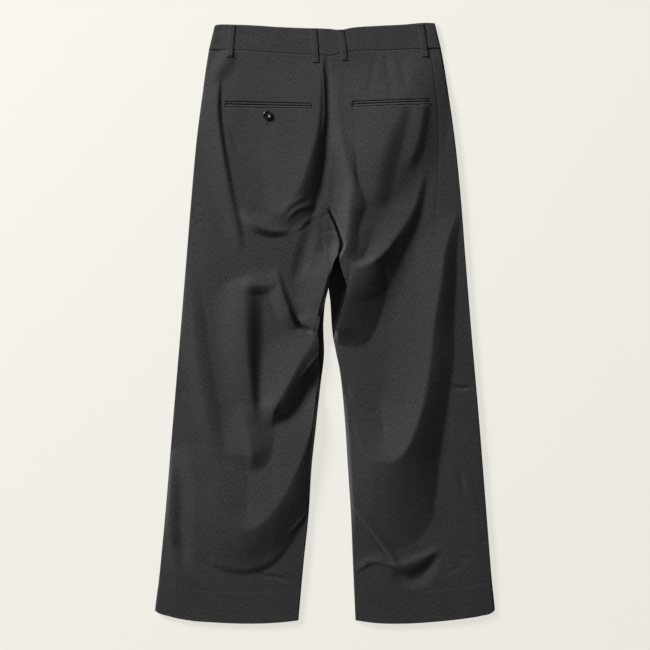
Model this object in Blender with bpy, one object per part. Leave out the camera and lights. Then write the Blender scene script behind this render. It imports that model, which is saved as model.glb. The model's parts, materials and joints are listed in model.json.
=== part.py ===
"""Wide dress trousers laid flat on a table, back side up, as thin cloth walls.

The waist points to +Y, the hems to -Y and the table is Z = 0.  Every piece that
a tailor cuts is one closed solid.  The front panels lie on the table, and the
back panels lie on them and carry the folds.  Tables and driving dimensions are
in millimetres, the finished meshes in metres.
"""

from collections import namedtuple
import math

import bmesh
import bpy
from mathutils import Vector
from mathutils.bvhtree import BVHTree
import numpy as np

MM = 0.001
DOWN = Vector((0.0, 0.0, -1.0))

# Cloth, in millimetres
BACK_CLOTH = 1.3
FRONT_CLOTH = 1.2
BAND_CLOTH = 2.0
LOOP_CLOTH = 1.2
WELT_CLOTH = 1.0
SEAM_GAP = 0.3
LIE_GAP = 0.5

# How high the pieces lie
FRONT_BAND_LIFT = LOOP_CLOTH + SEAM_GAP
BACK_EDGE_LIFT = FRONT_CLOTH + SEAM_GAP
BACK_BAND_LIFT = FRONT_BAND_LIFT + BAND_CLOTH + SEAM_GAP
BODY_SWELL = 5.8
WAIST_SWELL = 3.6
HEM_SWELL = 3.0
BAND_SWELL = 1.4
SWELL_REACH = 9.0
BAND_REACH = 32.0
FOLD_REACH = 6.0

# Stations along the garment, as Y
WAIST_STATION = 455.0
HEM_STATION = -505.0
CLOSING_START = 95.0
CLOSING_REACH = 45.0
END_REACH = 90.0
CENTRE_X = 10.0

# The inside of the right thigh, where the back panel stands back from the inseam and the
# front panel turns up in a tuck behind its edge
LIP_HEIGHT = 4.0
LIP_FROM = 1.5
LIP_FULL = 7.0
LIP_SPARE = 2.5
LIP_TUCK = 10.0
LIP_SINK = 30.0

# Front pleats, folded towards the side seams: shares across the front panel
PLEAT_DEPTH = 1.1
PLEAT_LENGTH = 240.0
FRONT_COLUMNS = (0.0, 0.12, 0.22, 0.32, 0.42, 0.426, 0.53, 0.64, 0.646, 0.72, 0.79, 0.86, 0.91, 0.955, 1.0)
PLEAT_LEVELS = (0.0, 0.0, 0.0, 0.5, 1.0, 0.0, 0.5, 1.0, 0.0, 0.0, 0.0, 0.0, 0.0, 0.0, 0.0)

# Belt loops, pocket welts and button
LOOP_WIDTH = 11.0
LOOP_ARCH = 1.6
WELT_SLIT = 0.5
BUTTON_PLACE = (-94.0, 353.0)
BUTTON_RADIUS = 7.5
BUTTON_THICKNESS = 2.6
BUTTON_ROUND = 0.7

# Cells of the cloth walls, across and along
BACK_CELLS = (20, 64)
EDGE_CROWDING = 0.35
FRONT_ROWS = 40
BAND_CELLS = (14, 3)
LOOP_CELLS = (2, 9)
WELT_CELLS = (16, 1)
NEAR = 5.0

Point = namedtuple("Point", "along across")

# Edges seen from above that run down the garment: along is Y, across is X
LEFT_OUTSEAM = (
    Point(515, -185), Point(451, -197), Point(390, -207), Point(309, -217.5), Point(227, -225),
    Point(105, -235), Point(-18, -245), Point(-161, -257), Point(-324, -270.5), Point(-515, -289),
)
RIGHT_OUTSEAM = (
    Point(515, 185), Point(451, 197.9), Point(390, 209.6), Point(309, 221.2), Point(227, 229.7),
    Point(105, 239.2), Point(-18, 249.2), Point(-161, 261.7), Point(-324, 274.6), Point(-515, 289.6),
)
LEFT_INSEAM = (
    Point(515, 10), Point(150, 10), Point(80, 9), Point(59, 6.5), Point(43, 2.5), Point(3, -1.6),
    Point(-59, -1), Point(-100, -6.2), Point(-161, -13), Point(-242, -21.6),
    Point(-324, -26.8), Point(-405, -35.2), Point(-515, -45),
)
RIGHT_INSEAM = (
    Point(515, 10), Point(150, 10), Point(80, 9.4), Point(59, 7.2), Point(43, 9.6), Point(-18, 14.6),
    Point(-79, 26.6), Point(-161, 35.2), Point(-242, 40.4), Point(-324, 45.7),
    Point(-405, 49), Point(-515, 53.8),
)
LEFT_BACK_INNER = (
    Point(515, 10), Point(350, 10), Point(240, 10), Point(205, 10), Point(188, 11.5), Point(179, 15.5),
    Point(167, 20.5), Point(154, 24.5), Point(142, 28), Point(134.5, 32.5), Point(126, 29),
    Point(118, 23.8), Point(103, 15.3), Point(79, 11), Point(62, 7.5), Point(43, 2.5),
    Point(6, -7.5), Point(-45, -9.5), Point(-100, -8), Point(-161, -13), Point(-242, -21.6),
    Point(-324, -26.8), Point(-405, -35.2), Point(-515, -45),
)
RIGHT_BACK_INNER = (
    Point(515, 10), Point(350, 10), Point(240, 10), Point(205, 10), Point(188, 11.5), Point(179, 15.5),
    Point(167, 20.5), Point(154, 24.5), Point(142, 28), Point(134.5, 32.5), Point(126, 29.5),
    Point(118, 26), Point(99, 27.2), Point(82, 32.3), Point(64, 38), Point(45, 35.7), Point(26, 30.6),
    Point(3, 23.8), Point(-20, 17), Point(-38, 18.4), Point(-79, 26.6), Point(-161, 35.2),
    Point(-242, 40.4), Point(-324, 45.7), Point(-405, 49), Point(-515, 53.8),
)

# Edges that run across the garment: along is X, across is Y
WAIST_SEAM = (
    Point(-200, 464.6), Point(-151, 463.3), Point(-109, 461), Point(-58, 457.1), Point(-7, 455.6),
    Point(10, 454), Point(27, 458.2), Point(44, 460.5), Point(112, 463.3), Point(200, 467.4),
)
WAIST_TOP = (
    Point(-200, 503), Point(-187, 504.6), Point(-184, 506.4), Point(-178, 507.4), Point(-170, 507.5),
    Point(-155, 507.2), Point(-119, 505.8), Point(-80, 503.2), Point(-41, 501.5), Point(10, 499.8),
    Point(27, 498.1), Point(44, 501.5), Point(87, 504.9), Point(129, 506.9), Point(183, 510), Point(200, 508),
)
LEFT_HEM = (
    Point(-292, -484), Point(-286, -488.8), Point(-262, -497.3), Point(-228, -504.1),
    Point(-185, -507.5), Point(-126, -509.4), Point(-66, -506.6), Point(-40, -503.5),
)
RIGHT_HEM = (
    Point(50, -503.5), Point(87, -508.3), Point(129, -509.4), Point(197, -505.4), Point(245, -499.8),
    Point(265, -496.4), Point(287, -489), Point(292, -484),
)

Side = namedtuple("Side", "name sign outseam inseam back_inner hem")
SIDES = (
    Side("left", -1, LEFT_OUTSEAM, LEFT_INSEAM, LEFT_BACK_INNER, LEFT_HEM),
    Side("right", 1, RIGHT_OUTSEAM, RIGHT_INSEAM, RIGHT_BACK_INNER, RIGHT_HEM),
)

# A fold is a crest that runs down the garment through the places below.  Each
# place gives the crest's height, then how far the cloth takes to sink to its
# right and to its left, seen along the route.  A crisp fold (1) sinks in a hollow
# curve to the right and over a shoulder to the left, a soft one (0) is a wave.  The
# higher the shoulder number, the rounder the shoulder.  The leg is -1 for the left
# one, 1 for the right one and 0 for a fold that runs over both.
Crest = namedtuple("Crest", "x y height right_reach left_reach")
Fold = namedtuple("Fold", "name leg crisp shoulder crests")
FOLDS = (
    Fold("seat_left", -1, 0.9, 1.6, (
        Crest(-3, 453, 0, 30, 4), Crest(-5, 428, 2, 90, 5), Crest(-7, 397, 3, 110, 8),
        Crest(-10, 354, 4.8, 125, 12), Crest(-15, 320, 6.6, 125, 16), Crest(-22, 295, 8.6, 125, 22),
        Crest(-29, 269, 9.6, 120, 26), Crest(-37, 244, 9.8, 110, 30), Crest(-48, 222, 9, 95, 36),
        Crest(-61, 203, 7.5, 70, 44), Crest(-78, 190, 4, 50, 32), Crest(-95, 181, 1, 30, 20),
    )),
    Fold("hip_left", -1, 0.9, 2.1, (
        Crest(-178, 417, 0, 20, 4), Crest(-182, 394, 2.8, 34, 7), Crest(-183, 360, 3.6, 36, 8),
        Crest(-180, 329, 3.6, 36, 8), Crest(-175, 295, 3.6, 34, 8), Crest(-168, 252, 3.4, 32, 9),
        Crest(-160, 205, 3, 28, 10), Crest(-150, 157, 2.6, 24, 11), Crest(-143, 115, 0, 20, 10),
    )),
    Fold("crotch_roll_left", -1, 0.5, 2.1, (
        Crest(24, 135, 0, 20, 10), Crest(20, 115, 4, 34, 10), Crest(14, 98, 8, 44, 10),
        Crest(10, 79, 11.5, 50, 10), Crest(6, 59, 12.5, 54, 10), Crest(1, 38, 12.5, 54, 9),
        Crest(-3, 18, 11, 50, 8), Crest(-8, 1, 8, 36, 8), Crest(-12, -13, 3.5, 24, 8),
        Crest(-15, -25, 0, 16, 8),
    )),
    Fold("seat_centre_right", 1, 0.7, 2.1, (
        Crest(20, 339, 0, 14, 10), Crest(26, 310, 2.2, 18, 16), Crest(34, 286, 2.8, 18, 20),
        Crest(42, 264, 3.2, 18, 13), Crest(48, 244, 3.6, 18, 9), Crest(48, 222, 4.2, 20, 18),
        Crest(45, 201, 5, 20, 26), Crest(43, 179, 4.4, 20, 21), Crest(42, 156, 3.2, 18, 16),
        Crest(39, 132, 2, 16, 18), Crest(36, 111, 0, 14, 14),
    )),
    Fold("seat_right", 1, 0.4, 2.1, (
        Crest(143, 407, 0, 50, 12), Crest(134, 373, 1.6, 70, 18), Crest(126, 344, 3, 80, 22),
        Crest(114, 319, 4.4, 80, 28), Crest(104, 295, 5.4, 80, 32), Crest(99, 269, 5, 70, 32),
        Crest(97, 244, 4, 50, 30), Crest(94, 218, 2.6, 40, 28), Crest(90, 195, 0, 30, 20),
    )),
    Fold("seat_swell_right", 1, 0.3, 2.1, (
        Crest(146, 462, 0, 80, 60), Crest(144, 424, 5, 110, 70), Crest(141, 380, 8, 120, 76),
        Crest(133, 332, 8, 120, 76), Crest(124, 286, 6, 100, 70), Crest(116, 241, 3, 80, 60),
        Crest(112, 203, 0, 50, 40),
    )),
    Fold("inner_ridge", 0, 0.85, 1.6, (
        Crest(20, 431, 0, 18, 60), Crest(22, 397, 1.5, 20, 90), Crest(24, 360, 3, 24, 110),
        Crest(31, 309, 5, 28, 120), Crest(37, 273, 6.5, 30, 120), Crest(42, 241, 8, 30, 116),
        Crest(42, 207, 9, 32, 108), Crest(39, 173, 10, 30, 96), Crest(35, 142, 11.5, 24, 84),
        Crest(27, 118, 13.5, 20, 76), Crest(25, 101, 15.5, 14, 74), Crest(29, 84, 17, 14, 72),
        Crest(35, 64, 16.5, 12, 71), Crest(32, 45, 15.2, 12, 70), Crest(27, 26, 13.5, 12, 69),
        Crest(21, 4, 11.5, 12, 66), Crest(14, -14, 8, 10, 58), Crest(8, -31, 0, 8, 46),
    )),
    Fold("seat_right_low", 1, 0.9, 1.5, (
        Crest(167, 258, 0, 16, 8), Crest(161, 227, 3, 30, 11), Crest(151, 197, 5.4, 40, 15),
        Crest(137, 170, 8, 44, 21), Crest(118, 142, 10, 42, 27), Crest(102, 122, 11, 34, 34),
        Crest(86, 108, 11, 24, 48), Crest(71, 99, 7.5, 15, 58), Crest(56, 95, 4, 12, 60),
        Crest(44, 96, 0, 10, 50),
    )),
    Fold("outer_right", 1, 0.9, 1.25, (
        Crest(224, 191, 0, 24, 7), Crest(218, 169, 2.4, 34, 12), Crest(210, 145, 4.6, 46, 17),
        Crest(203, 118, 6.8, 58, 22), Crest(197, 74, 9, 70, 27), Crest(190, 31, 10.5, 74, 31),
        Crest(184, -11, 11, 74, 36), Crest(180, -54, 11.5, 74, 40), Crest(174, -96, 12.5, 74, 41),
        Crest(165, -140, 14.5, 74, 44), Crest(150, -187, 16.5, 76, 53), Crest(138, -211, 17.4, 78, 66),
        Crest(125, -226, 17.5, 82, 98), Crest(109, -234, 17.5, 84, 150), Crest(88, -230, 16, 84, 130),
        Crest(68, -214, 13, 80, 98), Crest(51, -190, 10, 70, 80), Crest(37, -164, 7, 60, 66),
        Crest(27, -135, 4, 50, 46), Crest(20, -110, 0, 40, 30),
    )),
    Fold("thigh_left", -1, 0.25, 1.2, (
        Crest(-138, 79, 0, 30, 24), Crest(-136, 57, 6.5, 48, 31), Crest(-134, 14, 9.5, 54, 31),
        Crest(-133, -37, 9.5, 54, 28), Crest(-128, -93, 7.5, 54, 20), Crest(-124, -133, 5, 46, 17),
        Crest(-122, -154, 3, 40, 20), Crest(-121, -174, 0, 30, 20),
    )),
    Fold("thigh_bulge_left", -1, 0.8, 1.4, (
        Crest(-83, 62, 0, 20, 8), Crest(-94, 65, 3.2, 26, 14), Crest(-110, 65, 4.2, 30, 17),
        Crest(-126, 65, 3.6, 28, 16), Crest(-139, 62, 0, 20, 12),
    )),
    Fold("thigh_left_outer", -1, 0.7, 2.1, (
        Crest(-228, 91, 0, 20, 12), Crest(-224, 23, 2.4, 30, 20), Crest(-219, -45, 3, 32, 24),
        Crest(-211, -96, 3, 32, 24), Crest(-201, -147, 3, 30, 24), Crest(-190, -198, 2, 26, 20),
        Crest(-184, -235, 0, 20, 12),
    )),
    Fold("inner_left", -1, 0.9, 1.3, (
        Crest(-3, -20, 0, 20, 14), Crest(-15, -38, 5, 50, 25), Crest(-35, -60, 9, 66, 36),
        Crest(-48, -81, 11, 70, 37), Crest(-61, -103, 11.5, 60, 34), Crest(-72, -122, 10.5, 46, 33),
        Crest(-82, -137, 8.5, 28, 31), Crest(-88, -149, 5.5, 18, 28), Crest(-95, -157, 0, 12, 18),
    )),
    Fold("shin_left", -1, 0.9, 1.4, (
        Crest(-19, -133, 0, 30, 10), Crest(-26, -171, 4, 60, 16), Crest(-33, -208, 7, 84, 28),
        Crest(-46, -246, 9.8, 100, 38), Crest(-65, -285, 11, 114, 50), Crest(-87, -317, 12, 114, 56),
        Crest(-109, -339, 13, 108, 66), Crest(-131, -348, 13, 108, 76), Crest(-155, -334, 12, 108, 90),
        Crest(-180, -303, 11, 108, 108), Crest(-209, -273, 8.5, 90, 112), Crest(-236, -242, 6, 60, 84),
        Crest(-260, -215, 0, 34, 30),
    )),
    Fold("shin_left_edge", -1, 0.5, 2.1, (
        Crest(-265, -208, 0, 8, 12), Crest(-260, -242, 3.4, 9, 28), Crest(-258, -286, 4.4, 10, 36),
        Crest(-260, -334, 4.4, 10, 36), Crest(-260, -377, 3.6, 10, 32), Crest(-255, -416, 1.8, 12, 20),
        Crest(-248, -445, 0, 8, 14),
    )),
    Fold("s_fold_left", -1, 0.9, 1.2, (
        Crest(-14, -13, 0, 16, 8), Crest(-26, -8, 4, 24, 9), Crest(-37, 1, 6.5, 28, 9),
        Crest(-48, 14, 6, 26, 9), Crest(-56, 30, 4, 18, 8), Crest(-64, 47, 2, 12, 7),
        Crest(-70, 62, 0, 8, 6),
    )),
    Fold("under_seat_left", -1, 0.9, 1.4, (
        Crest(-56, 159, 0, 12, 8), Crest(-73, 157, 3, 18, 10), Crest(-92, 158, 5.4, 22, 12),
        Crest(-109, 163, 7, 22, 13), Crest(-123, 172, 6.2, 18, 13), Crest(-133, 183, 3, 12, 11),
        Crest(-139, 195, 0, 10, 8),
    )),
    Fold("ankle_right", 1, 0.9, 1.2, (
        Crest(197, -380, 0, 10, 8), Crest(184, -387, 1.8, 9, 12), Crest(170, -394, 2.8, 10, 19),
        Crest(155, -400, 3, 10, 22), Crest(139, -406, 3, 10, 22), Crest(128, -409, 2.2, 10, 16),
        Crest(119, -408, 1.2, 9, 9), Crest(110, -402, 0, 8, 6),
    )),
    Fold("hip_ridge_right", 1, 0.6, 2.1, (
        Crest(177, 390, 0, 20, 10), Crest(172, 366, 2, 28, 13), Crest(165, 339, 2.4, 28, 14),
        Crest(156, 309, 2.6, 26, 15), Crest(148, 285, 2, 20, 15), Crest(138, 261, 0, 14, 12),
    )),
    Fold("knee_lobe_left", -1, 0.9, 1.25, (
        Crest(-128, -150, 0, 20, 12), Crest(-129, -171, 3, 50, 28), Crest(-131, -195, 7.5, 60, 44),
        Crest(-133, -213, 8.5, 60, 43), Crest(-139, -228, 6, 44, 27), Crest(-148, -236, 2.5, 30, 14),
        Crest(-158, -241, 0, 20, 8),
    )),
)
ROUTE_STEPS = 12
RIGHT_CURVE = 1.6
LEAST_REACH = 1.0

# A belt loop runs from its upper end down over the waist seam
Loop = namedtuple("Loop", "name side upper lower")
LOOPS = (
    Loop("belt_loop_side_left", 0, (-156.4, 505.5), (-161.5, 452.0)),
    Loop("belt_loop_centre_left", 0, (-18.7, 500.5), (-14.5, 442.5)),
    Loop("belt_loop_centre_right", 1, (27.5, 498.5), (34.0, 446.5)),
    Loop("belt_loop_side_right", 1, (163.0, 508.0), (171.0, 452.5)),
)
FRONT_LOOPS = (
    Loop("belt_loop_front_left", 0, (-100.0, 503.0), (-101.0, 462.5)),
    Loop("belt_loop_front_right", 1, (120.0, 505.0), (121.0, 465.0)),
)

# A jetted pocket has two welts: the lines of its upper and lower edges
Pocket = namedtuple("Pocket", "name side inner_x outer_x top_inner top_outer low_inner low_outer")
POCKETS = (
    Pocket("pocket_left", 0, -22.1, -167.5, 372.8, 376.8, 363.6, 366.6),
    Pocket("pocket_right", 1, 47.6, 178.5, 375.8, 380.2, 366.4, 370.3),
)

CHARCOAL = (0.045, 0.045, 0.047, 1.0)
HORN_BLACK = (0.012, 0.012, 0.012, 1.0)


def ease(share):
    """Smooth step from 0 to 1."""
    share = np.clip(share, 0.0, 1.0)
    return share * share * (3.0 - 2.0 * share)


def rounded_edge(distance, reach):
    """0 at an edge and 1 from reach inwards, on a quarter circle."""
    share = np.clip(distance / reach, 0.0, 1.0)
    return np.sqrt(1.0 - (1.0 - share) ** 2)


def edge_at(points, station):
    """Across value of an edge at the stations, on a smooth curve through its points."""
    ordered = sorted(points)
    along = np.array([point.along for point in ordered], float)
    across = np.array([point.across for point in ordered], float)
    slope = np.gradient(across, along)
    station = np.clip(station, along[0], along[-1])
    row = np.clip(np.searchsorted(along, station) - 1, 0, len(along) - 2)
    step = along[row + 1] - along[row]
    share = (station - along[row]) / step
    rest = 1.0 - share
    start = across[row] * rest ** 2 * (1.0 + 2.0 * share) + slope[row] * step * share * rest ** 2
    finish = across[row + 1] * share ** 2 * (1.0 + 2.0 * rest) - slope[row + 1] * step * share ** 2 * rest
    return start + finish


def route_points(crests):
    """Points along a smooth curve through a fold's crests, with height and reaches."""
    knots = np.array(crests, float)
    ends = np.vstack([2 * knots[0] - knots[1], knots, 2 * knots[-1] - knots[-2]])
    place = np.linspace(0, len(knots) - 1, ROUTE_STEPS * (len(knots) - 1) + 1)
    first = np.clip(place.astype(int), 0, len(knots) - 2)
    share = (place - first)[:, None]
    before, here, after, beyond = (ends[first + step] for step in range(4))
    bend = 2 * before - 5 * here + 4 * after - beyond
    twist = 3 * here - before - 3 * after + beyond
    return here + 0.5 * ((after - before) * share + bend * share ** 2 + twist * share ** 3)


def fold_height(fold, x, y):
    """Height that one fold adds to the cloth, from the nearest point of its route."""
    route = route_points(fold.crests)
    nearest = np.full(x.shape, np.inf)
    height = np.zeros(x.shape)
    for start, end in zip(route[:-1], route[1:]):
        length = np.hypot(end[0] - start[0], end[1] - start[1])
        ahead = (end[:2] - start[:2]) / length
        run = np.clip((x - start[0]) * ahead[0] + (y - start[1]) * ahead[1], 0.0, length)
        off_x = x - start[0] - run * ahead[0]
        off_y = y - start[1] - run * ahead[1]
        off = np.hypot(off_x, off_y)
        top, right_reach, left_reach = start[2:, None] + np.outer(end[2:] - start[2:], run / length)
        on_right = ahead[1] * off_x - ahead[0] * off_y >= 0.0
        reach = np.maximum(np.where(on_right, right_reach, left_reach), LEAST_REACH)
        share = np.clip(off / reach, 0.0, 1.0)
        sharp = np.where(on_right, (1.0 - share) ** RIGHT_CURVE, 1.0 - share ** fold.shoulder)
        soft = 0.5 + 0.5 * np.cos(math.pi * share)
        closer = off < nearest
        nearest = np.where(closer, off, nearest)
        height = np.where(closer, top * (fold.crisp * sharp + (1.0 - fold.crisp) * soft), height)
    return height


def folds_of(side, x, y):
    """Height of all the folds on one leg."""
    return sum(fold_height(fold, x, y) for fold in FOLDS if fold.leg * side.sign >= 0)


def stands_back(side, y):
    """1 where the inner edge of a back panel stands back from the inseam, 0 where it meets it."""
    width = side.sign * (edge_at(side.back_inner, y) - edge_at(side.inseam, y))
    return ease((width - LIP_FROM) / (LIP_FULL - LIP_FROM))


def thigh_lip(side, x, y):
    """Height of the inner thigh of a front panel, which turns up in a tuck behind the back panel."""
    inseam = edge_at(side.inseam, y)
    seam = edge_at(side.back_inner, y)
    width = side.sign * (seam - inseam)
    inside = side.sign * (x - inseam)
    amount = (LIP_HEIGHT + folds_of(side, seam, y)) * stands_back(side, y)
    climb = ease((inside - width - LIP_SPARE) / LIP_TUCK)
    sink = 1.0 - ease((inside - width - LIP_SPARE - LIP_TUCK) / LIP_SINK)
    return amount * climb * sink


def back_top(side, x, y):
    """Top of a back panel: a swollen body with folds, closed down on the front panel at its edges."""
    to_outseam = side.sign * (edge_at(side.outseam, y) - x)
    to_inner = side.sign * (x - edge_at(side.back_inner, y))
    closing = ease((CLOSING_START - y) / CLOSING_REACH) * (1.0 - stands_back(side, y))
    near_waist = ease((y - WAIST_STATION) / END_REACH + 1.0)
    near_hem = ease((HEM_STATION - y) / END_REACH + 1.0)
    swell = BODY_SWELL + (WAIST_SWELL - BODY_SWELL) * near_waist + (HEM_SWELL - BODY_SWELL) * near_hem
    inner_round = 1.0 - closing * (1.0 - rounded_edge(to_inner, SWELL_REACH))
    inner_free = 1.0 - closing * (1.0 - ease(to_inner / FOLD_REACH))
    lowest = BACK_EDGE_LIFT + BACK_CLOTH + thigh_lip(side, x, y)
    top = BACK_EDGE_LIFT + BACK_CLOTH + swell * rounded_edge(to_outseam, SWELL_REACH) * inner_round
    top = top + folds_of(side, x, y) * ease(to_outseam / FOLD_REACH) * inner_free
    return np.maximum(top, lowest + LIE_GAP * np.minimum(rounded_edge(to_outseam, SWELL_REACH), inner_round))


def band_bottom(side, x, y):
    """Lower face of a back waistband, swelling between its ends as the cloth below it does."""
    to_side = side.sign * (edge_at(side.outseam, y) - x)
    return BACK_BAND_LIFT + BAND_SWELL * rounded_edge(to_side, BAND_REACH)


def resting_level(under, x, y):
    """Highest point of the pieces under each place and close around it."""
    levels = []
    for place_x, place_y in zip(x, y):
        around = ((0.0, 0.0), (NEAR, 0.0), (-NEAR, 0.0), (0.0, NEAR), (0.0, -NEAR))
        starts = [Vector(((place_x + off_x) * MM, (place_y + off_y) * MM, 1.0)) for off_x, off_y in around]
        hits = [tree.ray_cast(start, DOWN)[0] for tree in under for start in starts]
        levels.append(max(hit.z for hit in hits if hit) / MM)
    return np.array(levels)


def surface_tree(piece):
    """Search tree of a piece's faces."""
    points = [vert.co for vert in piece.data.vertices]
    return BVHTree.FromPolygons(points, [face.vertices for face in piece.data.polygons])


def spread(side, u, v, inner):
    """Places for grid shares: u from the outseam to the inner edge, v from the hem to the waist seam."""
    station = HEM_STATION + v * (WAIST_STATION - HEM_STATION)
    start = edge_at(side.outseam, station)
    finish = edge_at(inner, station) + side.sign * 0.5 * SEAM_GAP
    x = start + u * (finish - start)
    to_waist = edge_at(WAIST_SEAM, x) - 0.5 * SEAM_GAP - WAIST_STATION
    to_hem = edge_at(side.hem, x) - HEM_STATION
    y = station + to_waist * ease((station - WAIST_STATION) / END_REACH + 1.0)
    y = y + to_hem * ease((HEM_STATION - station) / END_REACH + 1.0)
    return x, y


def principled(name, colour, roughness):
    """Material with a Principled BSDF."""
    material = bpy.data.materials.new(name)
    material.use_nodes = True
    shader = material.node_tree.nodes["Principled BSDF"]
    shader.inputs["Base Color"].default_value = colour
    shader.inputs["Roughness"].default_value = roughness
    shader.inputs["Metallic"].default_value = 0.0
    material.diffuse_color = colour
    return material


def add_object(name, bm, material):
    """Turn a bmesh into an object of the scene."""
    bmesh.ops.triangulate(bm, faces=bm.faces[:])
    bmesh.ops.recalc_face_normals(bm, faces=bm.faces[:])
    mesh = bpy.data.meshes.new(name)
    bm.to_mesh(mesh)
    bm.free()
    mesh.materials.append(material)
    piece = bpy.data.objects.new(name, mesh)
    bpy.context.scene.collection.objects.link(piece)
    return piece


def cloth_wall(name, cells, place):
    """Closed thin wall: a grid laid out by place(u, v), which gives X, Y, lower and upper Z."""
    bm = bmesh.new()
    bmesh.ops.create_grid(bm, x_segments=cells[0], y_segments=cells[1], size=0.5)
    sheet = bm.verts[:]
    u = np.array([vert.co.x + 0.5 for vert in sheet])
    v = np.array([vert.co.y + 0.5 for vert in sheet])
    x, y, lower, upper = place(u, v)
    for index, vert in enumerate(sheet):
        vert.co = (x[index] * MM, y[index] * MM, lower[index] * MM)
    thickness = {vert.co.to_tuple(7): (upper[index] - lower[index]) * MM for index, vert in enumerate(sheet)}
    raised = bmesh.ops.extrude_face_region(bm, geom=bm.faces[:])["geom"]
    for vert in (item for item in raised if isinstance(item, bmesh.types.BMVert)):
        vert.co.z += thickness[vert.co.to_tuple(7)]
    return add_object(name, bm, principled(name + "_suiting", CHARCOAL, 0.9))


def back_panel(side):
    def place(u, v):
        share = u - EDGE_CROWDING * np.sin(2.0 * math.pi * u) / (2.0 * math.pi)
        x, y = spread(side, share, v, side.back_inner)
        top = back_top(side, x, y)
        return x, y, top - BACK_CLOTH, top
    return cloth_wall("back_panel_" + side.name, BACK_CELLS, place)


def front_panel(side):
    """Front panel on the table, with two pleats that fade out down the thigh."""
    grid = np.linspace(0.0, 1.0, len(FRONT_COLUMNS))

    def place(u, v):
        share = np.interp(u, grid, FRONT_COLUMNS)
        x, y = spread(side, share, v, side.inseam)
        pleats = PLEAT_DEPTH * np.interp(u, grid, PLEAT_LEVELS)
        lower = pleats * ease((y - WAIST_STATION) / PLEAT_LENGTH + 1.0) + thigh_lip(side, x, y)
        return x, y, lower, lower + FRONT_CLOTH
    return cloth_wall("front_panel_" + side.name, (len(FRONT_COLUMNS) - 1, FRONT_ROWS), place)


def waistband(side, name, bottom):
    def place(u, v):
        height = WAIST_STATION + v * (WAIST_TOP[2].across - WAIST_STATION)
        start = edge_at(side.outseam, height)
        x = start + u * (CENTRE_X + side.sign * 0.5 * SEAM_GAP - start)
        low = edge_at(WAIST_SEAM, x) + 0.5 * SEAM_GAP
        y = low + v * (edge_at(WAIST_TOP, x) - low)
        lower = bottom(side, x, y)
        return x, y, lower, lower + BAND_CLOTH
    return cloth_wall(name + side.name, BAND_CELLS, place)


def belt_loop(loop, bottom, arch):
    """Strap across the waistband, arched so that a belt passes under it."""
    def place(u, v):
        x = loop.upper[0] + v * (loop.lower[0] - loop.upper[0]) + (u - 0.5) * LOOP_WIDTH
        y = loop.upper[1] + v * (loop.lower[1] - loop.upper[1])
        lower = bottom(x, y) + arch * np.sin(math.pi * v)
        return x, y, lower, lower + LOOP_CLOTH
    return cloth_wall(loop.name, LOOP_CELLS, place)


def welt(pocket, name, low, high, under):
    """One jet of a pocket: a strip of cloth that lies on the back panel."""
    def place(u, v):
        x = pocket.inner_x + u * (pocket.outer_x - pocket.inner_x)
        inner = low[0] + v * (high[0] - low[0])
        outer = low[1] + v * (high[1] - low[1])
        y = inner + u * (outer - inner)
        lower = resting_level(under, x, y) + LIE_GAP
        return x, y, lower, lower + WELT_CLOTH
    return cloth_wall(pocket.name + name, WELT_CELLS, place)


def pocket_welts(pocket, under):
    middle_inner = 0.5 * (pocket.top_inner + pocket.low_inner)
    middle_outer = 0.5 * (pocket.top_outer + pocket.low_outer)
    half = 0.5 * WELT_SLIT
    upper = ((middle_inner + half, middle_outer + half), (pocket.top_inner, pocket.top_outer))
    lower = ((pocket.low_inner, pocket.low_outer), (middle_inner - half, middle_outer - half))
    welt(pocket, "_upper_welt", upper[0], upper[1], under)
    welt(pocket, "_lower_welt", lower[0], lower[1], under)


def pocket_button(under):
    """Flat sewn button under the middle of the left pocket."""
    centre_x, centre_y = BUTTON_PLACE
    around = np.linspace(0.0, 2.0 * math.pi, 24)
    rim_x = centre_x + BUTTON_RADIUS * np.cos(around)
    rim_y = centre_y + BUTTON_RADIUS * np.sin(around)
    seat = resting_level(under, rim_x, rim_y).max() + LIE_GAP
    bm = bmesh.new()
    bmesh.ops.create_cone(bm, cap_ends=True, segments=28, radius1=BUTTON_RADIUS * MM,
                          radius2=BUTTON_RADIUS * MM, depth=BUTTON_THICKNESS * MM)
    rims = [edge for edge in bm.edges if abs(edge.verts[0].co.z - edge.verts[1].co.z) < 0.1 * MM]
    bmesh.ops.bevel(bm, geom=rims, offset=BUTTON_ROUND * MM, segments=2, profile=0.5,
                    affect="EDGES", material=-1)
    middle = (centre_x * MM, centre_y * MM, (seat + 0.5 * BUTTON_THICKNESS) * MM)
    bmesh.ops.translate(bm, verts=bm.verts[:], vec=middle)
    return add_object("pocket_button", bm, principled("pocket_button_horn", HORN_BLACK, 0.25))


def main():
    for old in list(bpy.data.objects):
        bpy.data.objects.remove(old)
    panels, bands = [], []
    for side in SIDES:
        front_panel(side)
        panels.append(surface_tree(back_panel(side)))
        waistband(side, "front_waistband_", lambda side, x, y: np.full(x.shape, FRONT_BAND_LIFT))
        bands.append(surface_tree(waistband(side, "back_waistband_", band_bottom)))
    for loop in LOOPS:
        belt_loop(loop, lambda x, y: resting_level(panels + bands, x, y) + LIE_GAP, LOOP_ARCH)
    for loop in FRONT_LOOPS:
        belt_loop(loop, lambda x, y: np.zeros(x.shape), 0.0)
    for pocket in POCKETS:
        pocket_welts(pocket, panels)
    pocket_button(panels)


if __name__ == "__main__":
    main()
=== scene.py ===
"""Wide dress trousers in charcoal wool suiting, laid flat on a table with the back side up.

The waist points to +Y, the hems to -Y and the table is Z = 0.  Tables and named
sizes are in millimetres, the finished meshes in metres.
"""

from collections import namedtuple
import json
import math

import bmesh
import bpy
from mathutils import Matrix, Vector, noise
from mathutils.bvhtree import BVHTree
import numpy as np

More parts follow.
